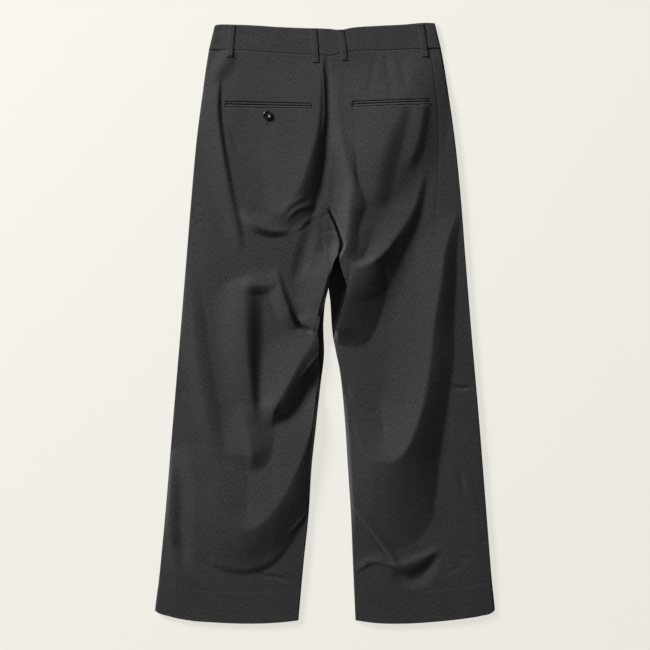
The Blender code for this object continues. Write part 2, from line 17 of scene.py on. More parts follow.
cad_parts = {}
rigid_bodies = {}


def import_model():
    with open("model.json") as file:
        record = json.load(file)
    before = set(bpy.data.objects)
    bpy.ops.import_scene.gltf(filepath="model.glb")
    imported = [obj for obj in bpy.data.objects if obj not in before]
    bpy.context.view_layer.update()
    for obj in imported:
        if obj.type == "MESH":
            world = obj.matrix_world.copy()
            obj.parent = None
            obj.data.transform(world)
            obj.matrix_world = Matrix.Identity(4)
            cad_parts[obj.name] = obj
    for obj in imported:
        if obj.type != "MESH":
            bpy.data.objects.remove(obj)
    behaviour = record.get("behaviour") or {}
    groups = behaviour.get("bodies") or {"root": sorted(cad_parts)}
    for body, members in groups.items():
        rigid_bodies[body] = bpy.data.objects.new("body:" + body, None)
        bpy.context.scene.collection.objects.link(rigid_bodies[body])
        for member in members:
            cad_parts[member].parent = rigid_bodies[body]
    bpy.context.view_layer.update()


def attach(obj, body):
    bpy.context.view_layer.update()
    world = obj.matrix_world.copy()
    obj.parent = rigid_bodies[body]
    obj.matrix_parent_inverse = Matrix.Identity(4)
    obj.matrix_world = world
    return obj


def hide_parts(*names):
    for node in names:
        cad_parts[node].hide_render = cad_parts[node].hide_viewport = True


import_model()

MM = 0.001
DOWN = Vector((0.0, 0.0, -1.0))

# Cloth and heights
SUITING_CLOTH = 1.0
FRONT_CLOTH = 1.2
BAND_CLOTH = 1.6
LOOP_CLOTH = 0.8
FRONT_BAND_LIFT = 1.5
BACK_BAND_LIFT = 3.5
BODY_SWELL = 5.8
WAIST_SWELL = 3.6
HEM_SWELL = 3.0
BAND_SWELL = 0.9
SWELL_REACH = 60.0
EDGE_ROLL = 0.4
EDGE_ROLL_SHARE = 0.6
BAND_REACH = 32.0
BAND_WAVE_REACH = 6.0
BAND_EDGE_DROP = 0.6
BAND_EDGE_ROLL = 1.8
BAND_OVERLAP = 1.2
FOLD_REACH = 6.0
EDGE_TOP = FRONT_CLOTH + SUITING_CLOTH
LIE_GAP = 0.1

# Stations along the garment, as Y
WAIST_STATION = 455.0
HEM_STATION = -505.0
CLOSING_START = 95.0
CLOSING_REACH = 45.0
END_REACH = 90.0
CENTRE_X = 10.0

# The inside of the right thigh, where the back panel stands back from the inseam
LIP_HEIGHT = 5.0
LIP_FROM = 1.5
LIP_FULL = 7.0
LIP_SPARE = 2.5
LIP_TUCK = 5.5
LIP_SINK = 12.0

# Seams: how far a seam sinks into the cloth, and how wide the sunk line is
SEAM_DEPTH = 0.5
SEAM_REACH = 1.8
HEM_TURN = 54.0
HEM_STEP = 0.15
HEM_DENT = 0.12
HEM_STEP_REACH = 2.5
HEM_DENT_REACH = 1.8
CENTRE_SEAM_RIDGE = 0.25
CENTRE_SEAM_REACH = 6.0
CENTRE_SEAM_END = 150.0
CENTRE_SEAM_FADE = 40.0

# Unevenness of pressed wool: length across the cloth, length along it, and amount
RIPPLES = ((46.0, 150.0, 0.5), (19.0, 60.0, 0.16), (8.0, 24.0, 0.05))

# Front pleats: shares across the front panel
PLEAT_DEPTH = 1.1
PLEAT_LENGTH = 240.0
PLEAT_SHARES = (0.0, 0.22, 0.42, 0.432, 0.53, 0.64, 0.652, 1.0)
PLEAT_LEVELS = (0.0, 0.0, 1.0, 0.0, 0.5, 1.0, 0.0, 0.0)

# Cells of the panels across and along; rows are closer at hem, hem stitching, pocket and waist
BACK_CELLS = (116, 404)
FRONT_CELLS = (130, 300)
ROW_SHARES = (0.0, 0.012, 0.065, 0.105, 0.80, 0.92, 0.985, 1.0)
LENGTH_SHARES = (0.0, 0.005, 0.045, 0.062, 0.895, 0.937, 0.992, 1.0)
EDGE_CROWDING = 0.45
EDGE_COLUMN = 0.0016
BAND_CELLS = (120, 24)
BAND_EDGE_COLUMN = 0.0012
BAND_EDGE_ROW = 0.006

Point = namedtuple("Point", "along across")


def edge(*places):
    return [Point(along, across) for along, across in places]


# Edges seen from above that run down the garment: along is Y, across is X
LEFT_OUTSEAM = edge(
    (515, -185), (451, -197), (390, -207), (309, -217.5), (227, -225), (105, -235), (-18, -245),
    (-161, -257), (-324, -270.5), (-515, -289),
)
RIGHT_OUTSEAM = edge(
    (515, 185.6), (451, 198.6), (390, 210.4), (309, 222), (227, 230.5), (105, 240), (-18, 250),
    (-161, 262.5), (-324, 275.4), (-515, 290.4),
)
LEFT_INSEAM = edge(
    (515, 10), (150, 10), (80, 9), (59, 6.5), (43, 2.5), (3, -1.6), (-59, -1), (-100, -6.2),
    (-161, -13), (-242, -21.6), (-324, -26.8), (-405, -35.2), (-515, -45),
)
RIGHT_INSEAM = edge(
    (515, 10), (150, 10), (80, 9.4), (59, 7.2), (43, 9.2), (-18, 13.9), (-79, 25.8), (-161, 34.4),
    (-242, 39.6), (-324, 44.9), (-405, 48.2), (-515, 53),
)
LEFT_BACK_INNER = edge(
    (515, 10), (350, 10), (240, 10), (205, 10), (188, 11.5), (179, 15.5), (167, 20.5), (154, 24.5),
    (142, 28), (134.5, 32.5), (126, 29), (118, 23.8), (103, 15.3), (79, 11), (62, 7.5), (43, 2.5),
    (6, -7.5), (-45, -9.5), (-100, -8), (-161, -13), (-242, -21.6), (-324, -26.8), (-405, -35.2),
    (-515, -45),
)
RIGHT_BACK_INNER = edge(
    (515, 10), (350, 10), (240, 10), (205, 10), (188, 11.5), (179, 15.5), (167, 20.5), (154, 24.5),
    (142, 28), (134.5, 32.5), (126, 29.5), (118, 26), (99, 27.2), (82, 32.3), (64, 38), (45, 35.7),
    (26, 30.6), (3, 23.8), (-20, 16.6), (-38, 17.8), (-79, 25.8), (-161, 34.4), (-242, 39.6),
    (-324, 44.9), (-405, 48.2), (-515, 53),
)

# Edges that run across the garment: along is X, across is Y
WAIST_SEAM = edge(
    (-200, 464.6), (-151, 463.3), (-109, 461), (-58, 457.1), (-7, 455.6), (10, 454), (27, 458.2),
    (44, 460.5), (112, 463.3), (200, 467.4),
)
WAIST_TOP = edge(
    (-200, 503), (-187, 504.6), (-184, 506.4), (-178, 507.4), (-170, 507.5), (-155, 507.2),
    (-119, 505.8), (-80, 503.2), (-41, 501.5), (10, 499.8), (27, 498.1), (44, 501.5), (87, 504.9),
    (129, 506.9), (183, 510), (200, 508),
)
LEFT_HEM = edge(
    (-292, -484), (-286, -488.8), (-262, -497.3), (-228, -504.1), (-185, -507.5), (-126, -509.4),
    (-66, -506.6), (-40, -503.5),
)
RIGHT_HEM = edge(
    (50, -503.5), (87, -508.3), (129, -509.4), (197, -505.4), (245, -499.8), (265, -496.4), (287, -489),
    (292, -484),
)

Side = namedtuple("Side", "name sign grain_turn outseam inseam back_inner hem")
SIDES = (
    Side("left", -1, 3.6, LEFT_OUTSEAM, LEFT_INSEAM, LEFT_BACK_INNER, LEFT_HEM),
    Side("right", 1, -4.0, RIGHT_OUTSEAM, RIGHT_INSEAM, RIGHT_BACK_INNER, RIGHT_HEM),
)

# A fold is a crest that runs down the garment through its places.  Each place is X,
# Y, the crest's height, and how far the cloth takes to sink to the crest's right and
# to its left, seen along the route.  A crisp fold (1) sinks in a hollow curve to the
# right and over a round shoulder to the left, and a soft one (0) is a wave.  A higher
# shoulder number is a rounder shoulder.  A hollow has heights below zero.  The leg is
# -1 for the left one, 1 for the right one and 0 for a fold that both share.
ROUND_SHOULDER = 2.1
Fold = namedtuple("Fold", "name leg crisp places shoulder", defaults=(ROUND_SHOULDER,))


def crease(name, leg, crisp, reach, *places):
    """A crease or ridge with the same reach on both sides: each place is X, Y and its height."""
    return Fold(name, leg, crisp, [(x, y, height, reach, reach) for x, y, height in places])


FOLDS = (
    Fold("seat_left", -1, 0.9, ((-3, 453, 0, 30, 4), (-5, 428, 2, 90, 5), (-7, 397, 3, 110, 8),
        (-10, 354, 4.8, 125, 12), (-15, 320, 6.6, 125, 16), (-22, 295, 8.6, 125, 22),
        (-29, 269, 9.6, 120, 26), (-37, 244, 9.8, 110, 30), (-48, 222, 9, 95, 36),
        (-61, 203, 7.5, 70, 44), (-78, 190, 4, 50, 32), (-95, 181, 1, 30, 20)), 1.6),
    Fold("centre_hollow", 0, 0.8, ((5, 448, -0.8, 8, 8), (8, 380, -1.2, 8, 10), (7, 329, -1.4, 8, 12),
        (2, 286, -1.4, 8, 12), (-3, 244, -1.4, 8, 12), (-10, 210, -1.2, 8, 12),
        (-24, 179, -0.6, 6, 10))),
    Fold("hip_left", -1, 0.9, ((-178, 417, 0, 20, 4), (-182, 394, 2.8, 34, 7), (-183, 360, 3.6, 36, 8),
        (-180, 329, 3.6, 36, 8), (-175, 295, 3.6, 34, 8), (-168, 252, 3.4, 32, 9),
        (-160, 205, 3, 28, 10), (-150, 157, 2.6, 24, 11), (-143, 115, 0, 20, 10))),
    Fold("crotch_roll_left", -1, 0.5, ((24, 135, 0, 20, 10), (20, 115, 4, 34, 10), (14, 98, 8, 44, 10),
        (10, 79, 11.5, 50, 10), (6, 59, 12.5, 54, 10), (1, 38, 12.5, 54, 9), (-3, 18, 11, 50, 8),
        (-8, 1, 8, 36, 8), (-12, -13, 3.5, 24, 8), (-15, -25, 0, 16, 8))),
    Fold("seat_centre_right", 1, 0.7, ((20, 339, 0, 14, 10), (26, 310, 2.2, 18, 16),
        (34, 286, 2.8, 18, 20), (42, 264, 3.2, 18, 13), (48, 244, 3.6, 18, 9), (48, 222, 4.2, 20, 18),
        (45, 201, 5, 20, 26), (43, 179, 4.4, 20, 21), (42, 156, 3.2, 18, 16), (39, 132, 2, 16, 18),
        (36, 111, 0, 14, 14))),
    Fold("seat_right", 1, 0.4, ((141, 407, 0, 50, 12), (131, 373, 1.6, 70, 18), (121, 344, 3, 80, 22),
        (108, 319, 4.4, 80, 28), (98, 295, 5.2, 80, 31), (92, 269, 4.8, 70, 31), (89, 244, 3.8, 50, 29),
        (86, 218, 2.6, 40, 28), (83, 195, 0, 30, 20))),
    Fold("seat_swell_right", 1, 0.3, ((146, 462, 0, 80, 60), (144, 424, 5, 110, 70),
        (141, 380, 8, 120, 76), (133, 332, 8, 120, 76), (124, 286, 6, 100, 70), (116, 241, 3, 80, 60),
        (112, 203, 0, 50, 40))),
    Fold("inner_ridge", 0, 0.85, ((20, 431, 0, 18, 60), (22, 397, 1.5, 20, 90), (24, 360, 3, 24, 110),
        (31, 309, 5, 28, 120), (37, 273, 6.5, 30, 120), (42, 241, 8, 30, 116), (42, 207, 9, 32, 108),
        (39, 173, 10, 30, 96), (35, 142, 11.5, 24, 84), (27, 118, 13.5, 20, 76),
        (25, 101, 15.5, 14, 74), (29, 84, 17, 14, 72), (35, 64, 16.5, 12, 71), (32, 45, 15.2, 12, 70),
        (27, 26, 13.5, 12, 69), (21, 4, 11.5, 12, 66), (14, -14, 8, 10, 58), (8, -31, 0, 8, 46)), 1.6),
    Fold("seat_right_low", 1, 0.9, ((167, 258, 0, 16, 8), (161, 227, 3, 30, 11),
        (151, 197, 5.4, 40, 15), (137, 170, 8, 44, 21), (118, 142, 10, 42, 27), (102, 122, 11, 34, 34),
        (86, 108, 11, 24, 48), (71, 99, 7.5, 15, 58), (56, 95, 4, 12, 60), (44, 96, 0, 10, 50)), 1.2),
    Fold("outer_right", 1, 0.9, ((224, 191, 0, 24, 7), (218, 169, 2.4, 34, 12), (210, 145, 4.6, 46, 17),
        (203, 118, 6.8, 58, 22), (197, 74, 9, 70, 27), (190, 31, 10.5, 74, 31), (184, -11, 11, 74, 36),
        (180, -54, 11.5, 74, 40), (174, -96, 12.5, 74, 41), (165, -140, 14.5, 74, 44),
        (150, -187, 16.5, 76, 53), (138, -211, 17.4, 78, 66), (125, -226, 17.5, 82, 98),
        (109, -234, 17.5, 84, 150), (88, -230, 16, 84, 130), (68, -214, 13, 80, 98),
        (51, -190, 10, 70, 80), (37, -164, 7, 60, 66), (27, -135, 4, 50, 46),
        (20, -110, 0, 40, 30)), 1.12),
    Fold("thigh_left", -1, 0.25, ((-138, 79, 0, 30, 24), (-136, 57, 6.5, 48, 31),
        (-134, 14, 9.5, 54, 31), (-133, -37, 9.5, 54, 28), (-128, -93, 7.5, 54, 20),
        (-124, -133, 5, 46, 17), (-122, -154, 3, 40, 20), (-121, -174, 0, 30, 20)), 1.2),
    Fold("knee_lobe_left", -1, 0.8, ((-138, -140, 0, 24, 24), (-134, -164, 4, 50, 46),
        (-128, -191, 8, 60, 44), (-124, -213, 9.5, 60, 38), (-123, -227, 8, 56, 32),
        (-125, -239, 4, 44, 24), (-128, -249, 0, 30, 14)), 1.1),
    Fold("thigh_bulge_left", -1, 0.8, ((-83, 62, 0, 20, 8), (-94, 65, 3.2, 26, 14),
        (-110, 65, 4.2, 30, 17), (-126, 65, 3.6, 28, 16), (-139, 62, 0, 20, 12)), 1.4),
    Fold("thigh_left_outer", -1, 0.7, ((-228, 91, 0, 20, 12), (-224, 23, 2.4, 30, 20),
        (-219, -45, 3, 32, 24), (-211, -96, 3, 32, 24), (-201, -147, 3, 30, 24),
        (-190, -198, 2, 26, 20), (-184, -235, 0, 20, 12))),
    Fold("inner_left", -1, 0.9, ((-5, -3, 0, 12, 10), (-14, -21, 3, 36, 20), (-25, -40, 6.5, 50, 28),
        (-38, -60, 9.5, 66, 36), (-50, -81, 11, 70, 37), (-62, -103, 11.5, 60, 35),
        (-72, -121, 11, 50, 35), (-81, -137, 10, 38, 34), (-87, -151, 7.5, 28, 32),
        (-88, -164, 3, 20, 24), (-86, -174, 0, 14, 14)), 1.3),
    Fold("inner_tip_left", -1, 0.5, ((-76, -133, 0, 20, 10), (-85, -138, 1.8, 20, 16),
        (-94, -139, 2.4, 20, 16), (-101, -137, 1.6, 18, 12), (-107, -133, 0, 14, 8))),
    Fold("shin_left", -1, 0.9, ((-12, -106, 0, 10, 6), (-14, -123, 3.6, 20, 6), (-16, -144, 6.6, 30, 8),
        (-20, -171, 8, 50, 12), (-31, -208, 8.8, 80, 24), (-46, -246, 9.8, 100, 38),
        (-65, -285, 11, 114, 50), (-87, -317, 12, 114, 56), (-109, -339, 13, 108, 66),
        (-131, -348, 13, 108, 76), (-155, -334, 12, 108, 90), (-180, -303, 11, 108, 108),
        (-209, -273, 8.5, 90, 112), (-236, -242, 6, 60, 84), (-260, -215, 0, 34, 30)), 1.2),
    Fold("shin_foot_left", -1, 0.9, ((-66, -378, 0, 8, 6), (-87, -398, 0.9, 18, 10),
        (-110, -411, 1.4, 20, 10), (-138, -416, 1.6, 20, 10), (-165, -412, 1.5, 20, 9),
        (-187, -405, 1, 16, 8), (-202, -399, 0, 10, 6)), 1.5),
    Fold("shin_left_edge", -1, 0.5, ((-265, -208, 0, 8, 12), (-261, -242, 0.8, 9, 20),
        (-260, -286, 1, 10, 24), (-262, -334, 1, 10, 24), (-262, -377, 0.8, 10, 22),
        (-255, -416, 0.4, 12, 18), (-248, -445, 0, 8, 14))),
    Fold("shin_edge_hollow_left", -1, 0.3, ((-258, -225, 0, 10, 10), (-248, -246, -1.8, 16, 24),
        (-243, -283, -2.6, 18, 26), (-243, -334, -2.8, 18, 26), (-241, -382, -2.4, 18, 24),
        (-236, -428, 0, 12, 16))),
    Fold("s_fold_left", -1, 0.9, ((-7, -12, 0, 14, 7), (-19, -8, 3, 22, 9), (-30, -3, 4.4, 26, 10),
        (-39, 3, 4, 26, 9), (-48, 13, 0, 16, 7)), 1.2),
    Fold("s_line_left", -1, 1, ((-41, -6, 0, 4, 10), (-48, 3, 3.5, 7, 20), (-54, 14, 6, 8, 24),
        (-62, 30, 6.5, 9, 24), (-70, 51, 5.4, 9, 24), (-76, 71, 3.4, 9, 20), (-80, 98, 0, 8, 14)), 1.5),
    Fold("s_crevice_left", -1, 0.3, ((-60, 25, 0, 4, 4), (-52, 12, -4.5, 5, 5), (-45, 3, -7.5, 6, 6),
        (-37, -5, -9, 6.5, 6.5), (-30, -10, -8.5, 6.5, 6.5), (-22, -14, -5.5, 5.5, 5.5),
        (-14, -16, 0, 4, 4))),
    Fold("under_seat_left", -1, 0.9, ((-56, 159, 0, 12, 8), (-73, 157, 3, 18, 10),
        (-92, 158, 5.4, 22, 12), (-109, 163, 7, 22, 13), (-123, 172, 6.2, 18, 13),
        (-133, 183, 3, 12, 11), (-139, 195, 0, 10, 8)), 1.4),
    Fold("crotch_groove_left", -1, 0, ((-24, 173, 0, 14, 14), (-29, 142, -2.2, 18, 18),
        (-36, 115, -2.6, 18, 18), (-44, 88, -2, 16, 18), (-51, 67, 0, 10, 14))),
    Fold("ankle_right", 1, 0.9, ((197, -380, 0, 10, 8), (184, -387, 1.8, 9, 12),
        (170, -394, 2.8, 10, 19), (155, -400, 3, 10, 22), (139, -406, 3, 10, 22),
        (128, -409, 2.2, 10, 16), (119, -408, 1.2, 9, 9), (110, -402, 0, 8, 6)), 1.2),
    Fold("ankle_hollow_right", 1, 0.7, ((190, -390, 0, 8, 12), (185, -400, -1.8, 14, 16),
        (175, -417, -3.2, 20, 18), (160, -431, -3.8, 24, 20), (143, -435, -3.8, 24, 20),
        (129, -428, -3, 20, 18), (119, -414, 0, 12, 12))),
    Fold("hip_ridge_right", 1, 0.6, ((172, 390, 0, 20, 10), (166, 366, 2, 28, 13),
        (162, 339, 2.6, 28, 14), (156, 309, 3, 26, 15), (149, 285, 2.4, 20, 15),
        (138, 261, 0, 14, 12))),
    Fold("crease_right", 1, 0.7, ((128, -412, 0, 8, 6), (114, -394, 3.4, 12, 7), (97, -371, 3.4, 14, 7),
        (80, -348, 3, 14, 7), (63, -324, 2.6, 14, 7), (46, -300, 1.6, 10, 6),
        (41, -290, 0, 8, 5)), 1.6),
    Fold("crease_right_groove", 1, 0.5, ((122, -412, 0, 4, 4), (109, -396, -2.6, 4.5, 4.5),
        (95, -378, -2.2, 4.5, 4.5), (80, -356, -1.2, 4, 4), (65, -332, 0, 4, 4))),
    Fold("ankle_fold_right", 1, 0.8, ((124, -411, 0, 8, 6), (109, -408, 1.6, 10, 6),
        (92, -403, 2, 12, 6), (76, -404, 2, 12, 6), (63, -412, 1.6, 10, 6), (49, -422, 0, 8, 5))),
)

# Small creases, puckers and seam lines
CREASES = (
    crease("left_edge_crease_upper", -1, 0.5, 4, (-221, 201.4, 0), (-212.5, 199.8, -0.9),
        (-202.3, 198.9, 0)),
    crease("left_edge_crease_middle", -1, 0.5, 4, (-224.4, 190.4, 0), (-219.3, 189.5, -0.8),
        (-212.5, 187.8, 0)),
    crease("left_edge_crease_lower", -1, 0.5, 4, (-221, 169.2, 0), (-212.5, 170.8, -0.8),
        (-204, 170.8, 0)),
    crease("left_knee_crease_upper", -1, 0.5, 4, (-253.3, -111.3, 0), (-243.1, -115.6, -0.9),
        (-232.9, -119.8, 0)),
    crease("left_knee_crease_lower", -1, 0.5, 4, (-253.3, -119, 0), (-244.8, -123.2, -0.8),
        (-236.3, -126.6, 0)),
    crease("left_knee_crease_inner", -1, 0.5, 4, (-241.4, -108, 0), (-231.2, -116.5, -0.7),
        (-219.3, -126.6, 0)),
    crease("left_hem_crease", -1, 0.6, 5, (-113.9, -425, 0), (-98.6, -427.6, -1.2),
        (-81.6, -430.1, -1.3), (-66.3, -433.5, -1.2), (-51, -437.8, 0)),
    crease("left_hem_mark", -1, 0.5, 4, (-113.9, -439.4, 0), (-105.4, -449.6, -0.8),
        (-98.6, -461.6, 0)),
    crease("inner_left_line", -1, 0.5, 3.4, (-5.1, -46.8, 0), (-18.7, -63.8, 0.9), (-32.3, -80.8, 0.9),
        (-42.5, -96, 0)),
    crease("shin_left_line", -1, 0.5, 3.4, (-28.1, -318.8, 0), (-40.8, -334.1, 0.9), (-51, -345.9, 0.8),
        (-61.2, -357.8, 0)),
    crease("left_thigh_mark", -1, 0.5, 4, (-154.7, -131.8, 0), (-147.9, -136.8, -0.7),
        (-141.1, -141.1, 0)),
    crease("right_knee_crease", 1, 0.6, 5, (212.5, -102.8, 0), (224.4, -108, -2), (236.3, -109.6, -2.2),
        (253.3, -106.2, 0)),
    Fold("right_thigh_mark", 1, 0.5, ((68, -154.7, 0, 4, 5), (81.6, -149.6, -0.8, 4, 5),
        (96.9, -144.5, 0, 4, 5))),
    Fold("right_knee_mark", 1, 0.5, ((119, -139.4, 0, 4, 5), (136, -136, -0.8, 4, 5),
        (156.4, -132.6, 0, 4, 5))),
    crease("right_inner_crease", 1, 0.4, 6, (35.7, -101.1, 0), (39.9, -116.5, -1), (44.2, -133.4, 0)),
    crease("right_shin_crease", 1, 0.4, 8, (37.4, -152.2, 0), (49.3, -184.4, -1.2), (64.6, -225.2, 0)),
    crease("right_shin_fold", 1, 0.5, 8, (226.1, -245.7, 0), (232.9, -269.4, -1.2), (238, -296.6, 0)),
    crease("right_shin_mark", 1, 0.5, 4, (265.2, -368.1, 0), (272, -368.1, -0.8), (278.8, -368.1, 0)),
    crease("right_ankle_crease", 1, 0.5, 5, (222.7, -395.2, 0), (238, -398.6, -1), (256.7, -396.9, 0)),
    crease("right_ankle_mark", 1, 0.5, 4, (204, -429.2, 0), (217.6, -419.1, -0.8), (232.9, -408.8, 0)),
    crease("side_seam_right", 1, 0.8, 3, (180.2, 461.6, -0.4), (187, 413.9, -0.5), (192.1, 362.9, -0.5),
        (193.8, 294.9, -0.5), (192.1, 226.9, -0.5), (188.7, 167.4, -0.3), (190.4, 108, 0)),
    Fold("waist_ripple_right_a", 1, 0.2, ((102, 464.9, 0, 8, 10), (105.4, 437.8, -0.8, 9, 12),
        (110.5, 407.1, -0.7, 9, 12), (115.6, 369.8, 0, 8, 10))),
    Fold("waist_ripple_right_b", 1, 0.2, ((125.8, 464.9, 0, 8, 10), (132.6, 424.1, -0.8, 9, 12),
        (142.8, 379.9, 0, 8, 10))),
    Fold("waist_ripple_right_c", 1, 0.2, ((86.7, 454.8, 0, 7, 9), (80.8, 424.1, -0.7, 8, 10),
        (73.1, 386.8, 0, 7, 9))),
    Fold("band_crease_left", -1, 0.3, ((-151.3, 491.3, 0, 5, 6), (-139.4, 488.8, -0.8, 5, 7),
        (-124.1, 486.2, -0.6, 5, 7), (-105.4, 483.6, 0, 5, 6))),
    crease("band_crease_end", 0, 0.4, 4, (-190.4, 493.8, 0), (-180.2, 495.6, -0.6), (-168.3, 496.4, 0)),
    crease("band_crease_end_low", 0, 0.4, 4, (-190.4, 478.6, 0), (-180.2, 476, -0.5), (-170, 477.7, 0)),
    crease("band_centre_line", 0, 0.5, 3, (9.5, 504.1, 0), (9.3, 492.1, -0.9), (9, 478.6, 0)),
    Fold("crotch_crevice", 0, 0.2, ((5.1, 196.3, 0, 4, 4), (11.9, 186.2, -4, 5, 5),
        (17.8, 174.2, -7, 6, 5), (22.9, 160.7, -7, 5, 5), (27.2, 150.4, -8, 6, 5),
        (31.1, 140.2, -10, 8, 5), (31.4, 131.8, -10, 8, 5), (27.2, 121.5, -7, 6, 5),
        (23.8, 113, 0, 4, 4))),
    crease("crotch_pucker_a", 0, 0.5, 3.4, (-6.8, 180.2, 0), (1.7, 183.6, -1.2), (11.9, 187.8, 0)),
    crease("crotch_pucker_b", 0, 0.5, 3.4, (-8.5, 165.8, 0), (0, 156.4, -1.3), (11.9, 157.2, -1),
        (25.5, 152.2, 0)),
    crease("crotch_pucker_c", 0, 0.5, 3.4, (-6, 148.8, 0), (-5.1, 139.4, -1.2), (-1.7, 125, -0.8),
        (-5.1, 104.5, 0)),
    crease("crotch_pucker_d", 0, 0.5, 3.4, (11.9, 182.8, 0), (16.1, 169.2, 1.2), (22.1, 155.5, 0)),
    Fold("waist_dimple_left", -1, 0.2, ((-153, 464.9, 0, 16, 12), (-163.2, 453.1, 2, 20, 20),
        (-175.1, 436.1, 2.6, 20, 22), (-187, 417.3, 1.6, 18, 16), (-195.5, 403.8, 0, 12, 10))),
    Fold("seat_hook_high_left", -1, 0.7, ((-32.3, 213.3, 0, 8, 5), (-44.2, 208.2, 1.2, 9, 5),
        (-57.8, 199.8, 1.3, 10, 5), (-68, 187.8, 1, 9, 5), (-74.8, 175.9, 0, 8, 4))),
    Fold("seat_hook_left", -1, 0.7, ((-15.3, 204.8, 0, 8, 5), (-28.9, 198.9, 1.3, 9, 5),
        (-44.2, 193.8, 1.5, 10, 5), (-56.9, 184.4, 1.4, 9, 5), (-66.3, 172.5, 0, 8, 4))),
    Fold("seat_hook_low_left", -1, 0.7, ((-13.6, 186.2, 0, 8, 5), (-25.5, 177.7, 1.5, 9, 5),
        (-39.1, 165.8, 1.5, 9, 5), (-54.4, 153.8, 0, 8, 4))),
    crease("seat_strip_left", -1, 0.5, 3.4, (-1.7, 441.1, 0), (-0.8, 417.3, 1.3), (0, 393.6, 1.5),
        (0.5, 366.3, 1.5), (-0.8, 342.6, 1.2), (-4.2, 315.3, 0)),
    Fold("seat_crease_left", -1, 0.7, ((-91.8, 187.8, 0, 8, 4), (-105.4, 198, 1.2, 10, 5),
        (-119, 208.2, 1.3, 10, 5), (-132.6, 218.4, 0, 8, 4))),
    Fold("hip_crease_left", -1, 0.3, ((-161.5, 332.3, 0, 8, 10), (-153, 308.6, -1.2, 8, 10),
        (-141.1, 283.1, 0, 8, 10))),
)
ROUTE_STEPS = 20
RIGHT_CURVE = 1.6
HOLLOW_CURVE = 1.4

# A belt loop runs from its upper end down over the waist seam
Loop = namedtuple("Loop", "name upper lower")
LOOPS = (
    Loop("side_left", (-156.4, 505.5), (-161.5, 452.0)),
    Loop("centre_left", (-18.7, 500.5), (-14.5, 442.5)),
    Loop("centre_right", (27.5, 498.5), (34.0, 446.5)),
    Loop("side_right", (163.0, 508.0), (171.0, 452.5)),
)
FRONT_LOOPS = (
    Loop("front_left", (-100.0, 503.0), (-101.0, 462.5)),
    Loop("front_right", (120.0, 505.0), (121.0, 465.0)),
)
LOOP_WIDTH = 11.0
TACK_HALF = 4.6
TACK_STITCHES = 22
TACK_FROM_LOWER = 3.2
TACK_FROM_UPPER = 2.4
THREAD_WIDTH = 0.45
BAND_GRAIN_TURN = 2.0
LOOP_GRAIN_TURN = 3.0
LOOP_ARCH = 0.1
LOOP_ARCH_CURVE = 0.8
LOOP_CROWN = 0.1
LOOP_RIM_SHARE = 0.08
LOOP_RIM_DROP = 0.15
LOOP_SPARE = 1.5
FRONT_LOOP_LIFT = 0.2
LOOP_CELLS = (9, 48)
LOOP_EDGE = 0.02

# A jetted pocket has two welts: the lines of its upper and lower edges
Pocket = namedtuple("Pocket", "name side inner_x outer_x top_inner top_outer low_inner low_outer")
POCKETS = (
    Pocket("pocket_left", 0, -22.1, -167.5, 372.8, 376.8, 363.6, 366.6),
    Pocket("pocket_right", 1, 47.6, 178.5, 375.8, 380.2, 366.4, 370.3),
)
WINDOW_DEPTH = 1.9
WINDOW_EDGE = 0.9
WELT_ROLL = 1.4
WELT_CLOTH = 0.6
WELT_SLIT = 1.0
WELT_LIFT = 0.1
WELT_END_SHARE = 0.004
WELT_UPPER_GAP = 0.7
WELT_LOWER_GAP = 0.5
WELT_CELLS = (90, 8)

# Button of the left pocket, with its buttonhole
BUTTON_PLACE = (-96.8, 352.8)
BUTTON_RADIUS = 7.5
BUTTON_THICKNESS = 2.6
HOLE_RADIUS = 0.85
HOLE_OFFSET = 1.35
BUTTON_LIFT = 0.6
BUTTON_DISH = 1.0
BUTTONHOLE = (362.0, 338.4)
BUTTONHOLE_HALF = 1.1
BUTTONHOLE_STITCHES = 46
BUTTONHOLE_BAR = (2.0, 0.7, 9)


def ease(share):
    """Smooth step from 0 to 1."""
    share = np.clip(share, 0.0, 1.0)
    return share * share * (3.0 - 2.0 * share)


def rounded_edge(distance, reach):
    """0 at an edge and 1 from reach inwards, on a quarter circle."""
    share = np.clip(distance / reach, 0.0, 1.0)
    return np.sqrt(1.0 - (1.0 - share) ** 2)


def swell_share(distance):
    """0 at an edge and 1 inside: a small roll at the edge itself, then a long gentle rise."""
    rise = 1.0 - (1.0 - np.clip(distance / SWELL_REACH, 0.0, 1.0)) ** 2
    return EDGE_ROLL_SHARE * rounded_edge(distance, EDGE_ROLL) + (1.0 - EDGE_ROLL_SHARE) * rise


def edge_at(points, station):
    """Across value of an edge at the stations, on a smooth curve through its points."""
    ordered = sorted(points)
    along = np.array([point.along for point in ordered], float)
    across = np.array([point.across for point in ordered], float)
    slope = np.gradient(across, along)
    station = np.clip(station, along[0], along[-1])
    row = np.clip(np.searchsorted(along, station) - 1, 0, len(along) - 2)
    step = along[row + 1] - along[row]
    share = (station - along[row]) / step
    start = across[row] * (1 - share) ** 2 * (1 + 2 * share) + slope[row] * step * share * (1 - share) ** 2
    finish = across[row + 1] * share ** 2 * (3 - 2 * share) - slope[row + 1] * step * share ** 2 * (1 - share)
    return start + finish


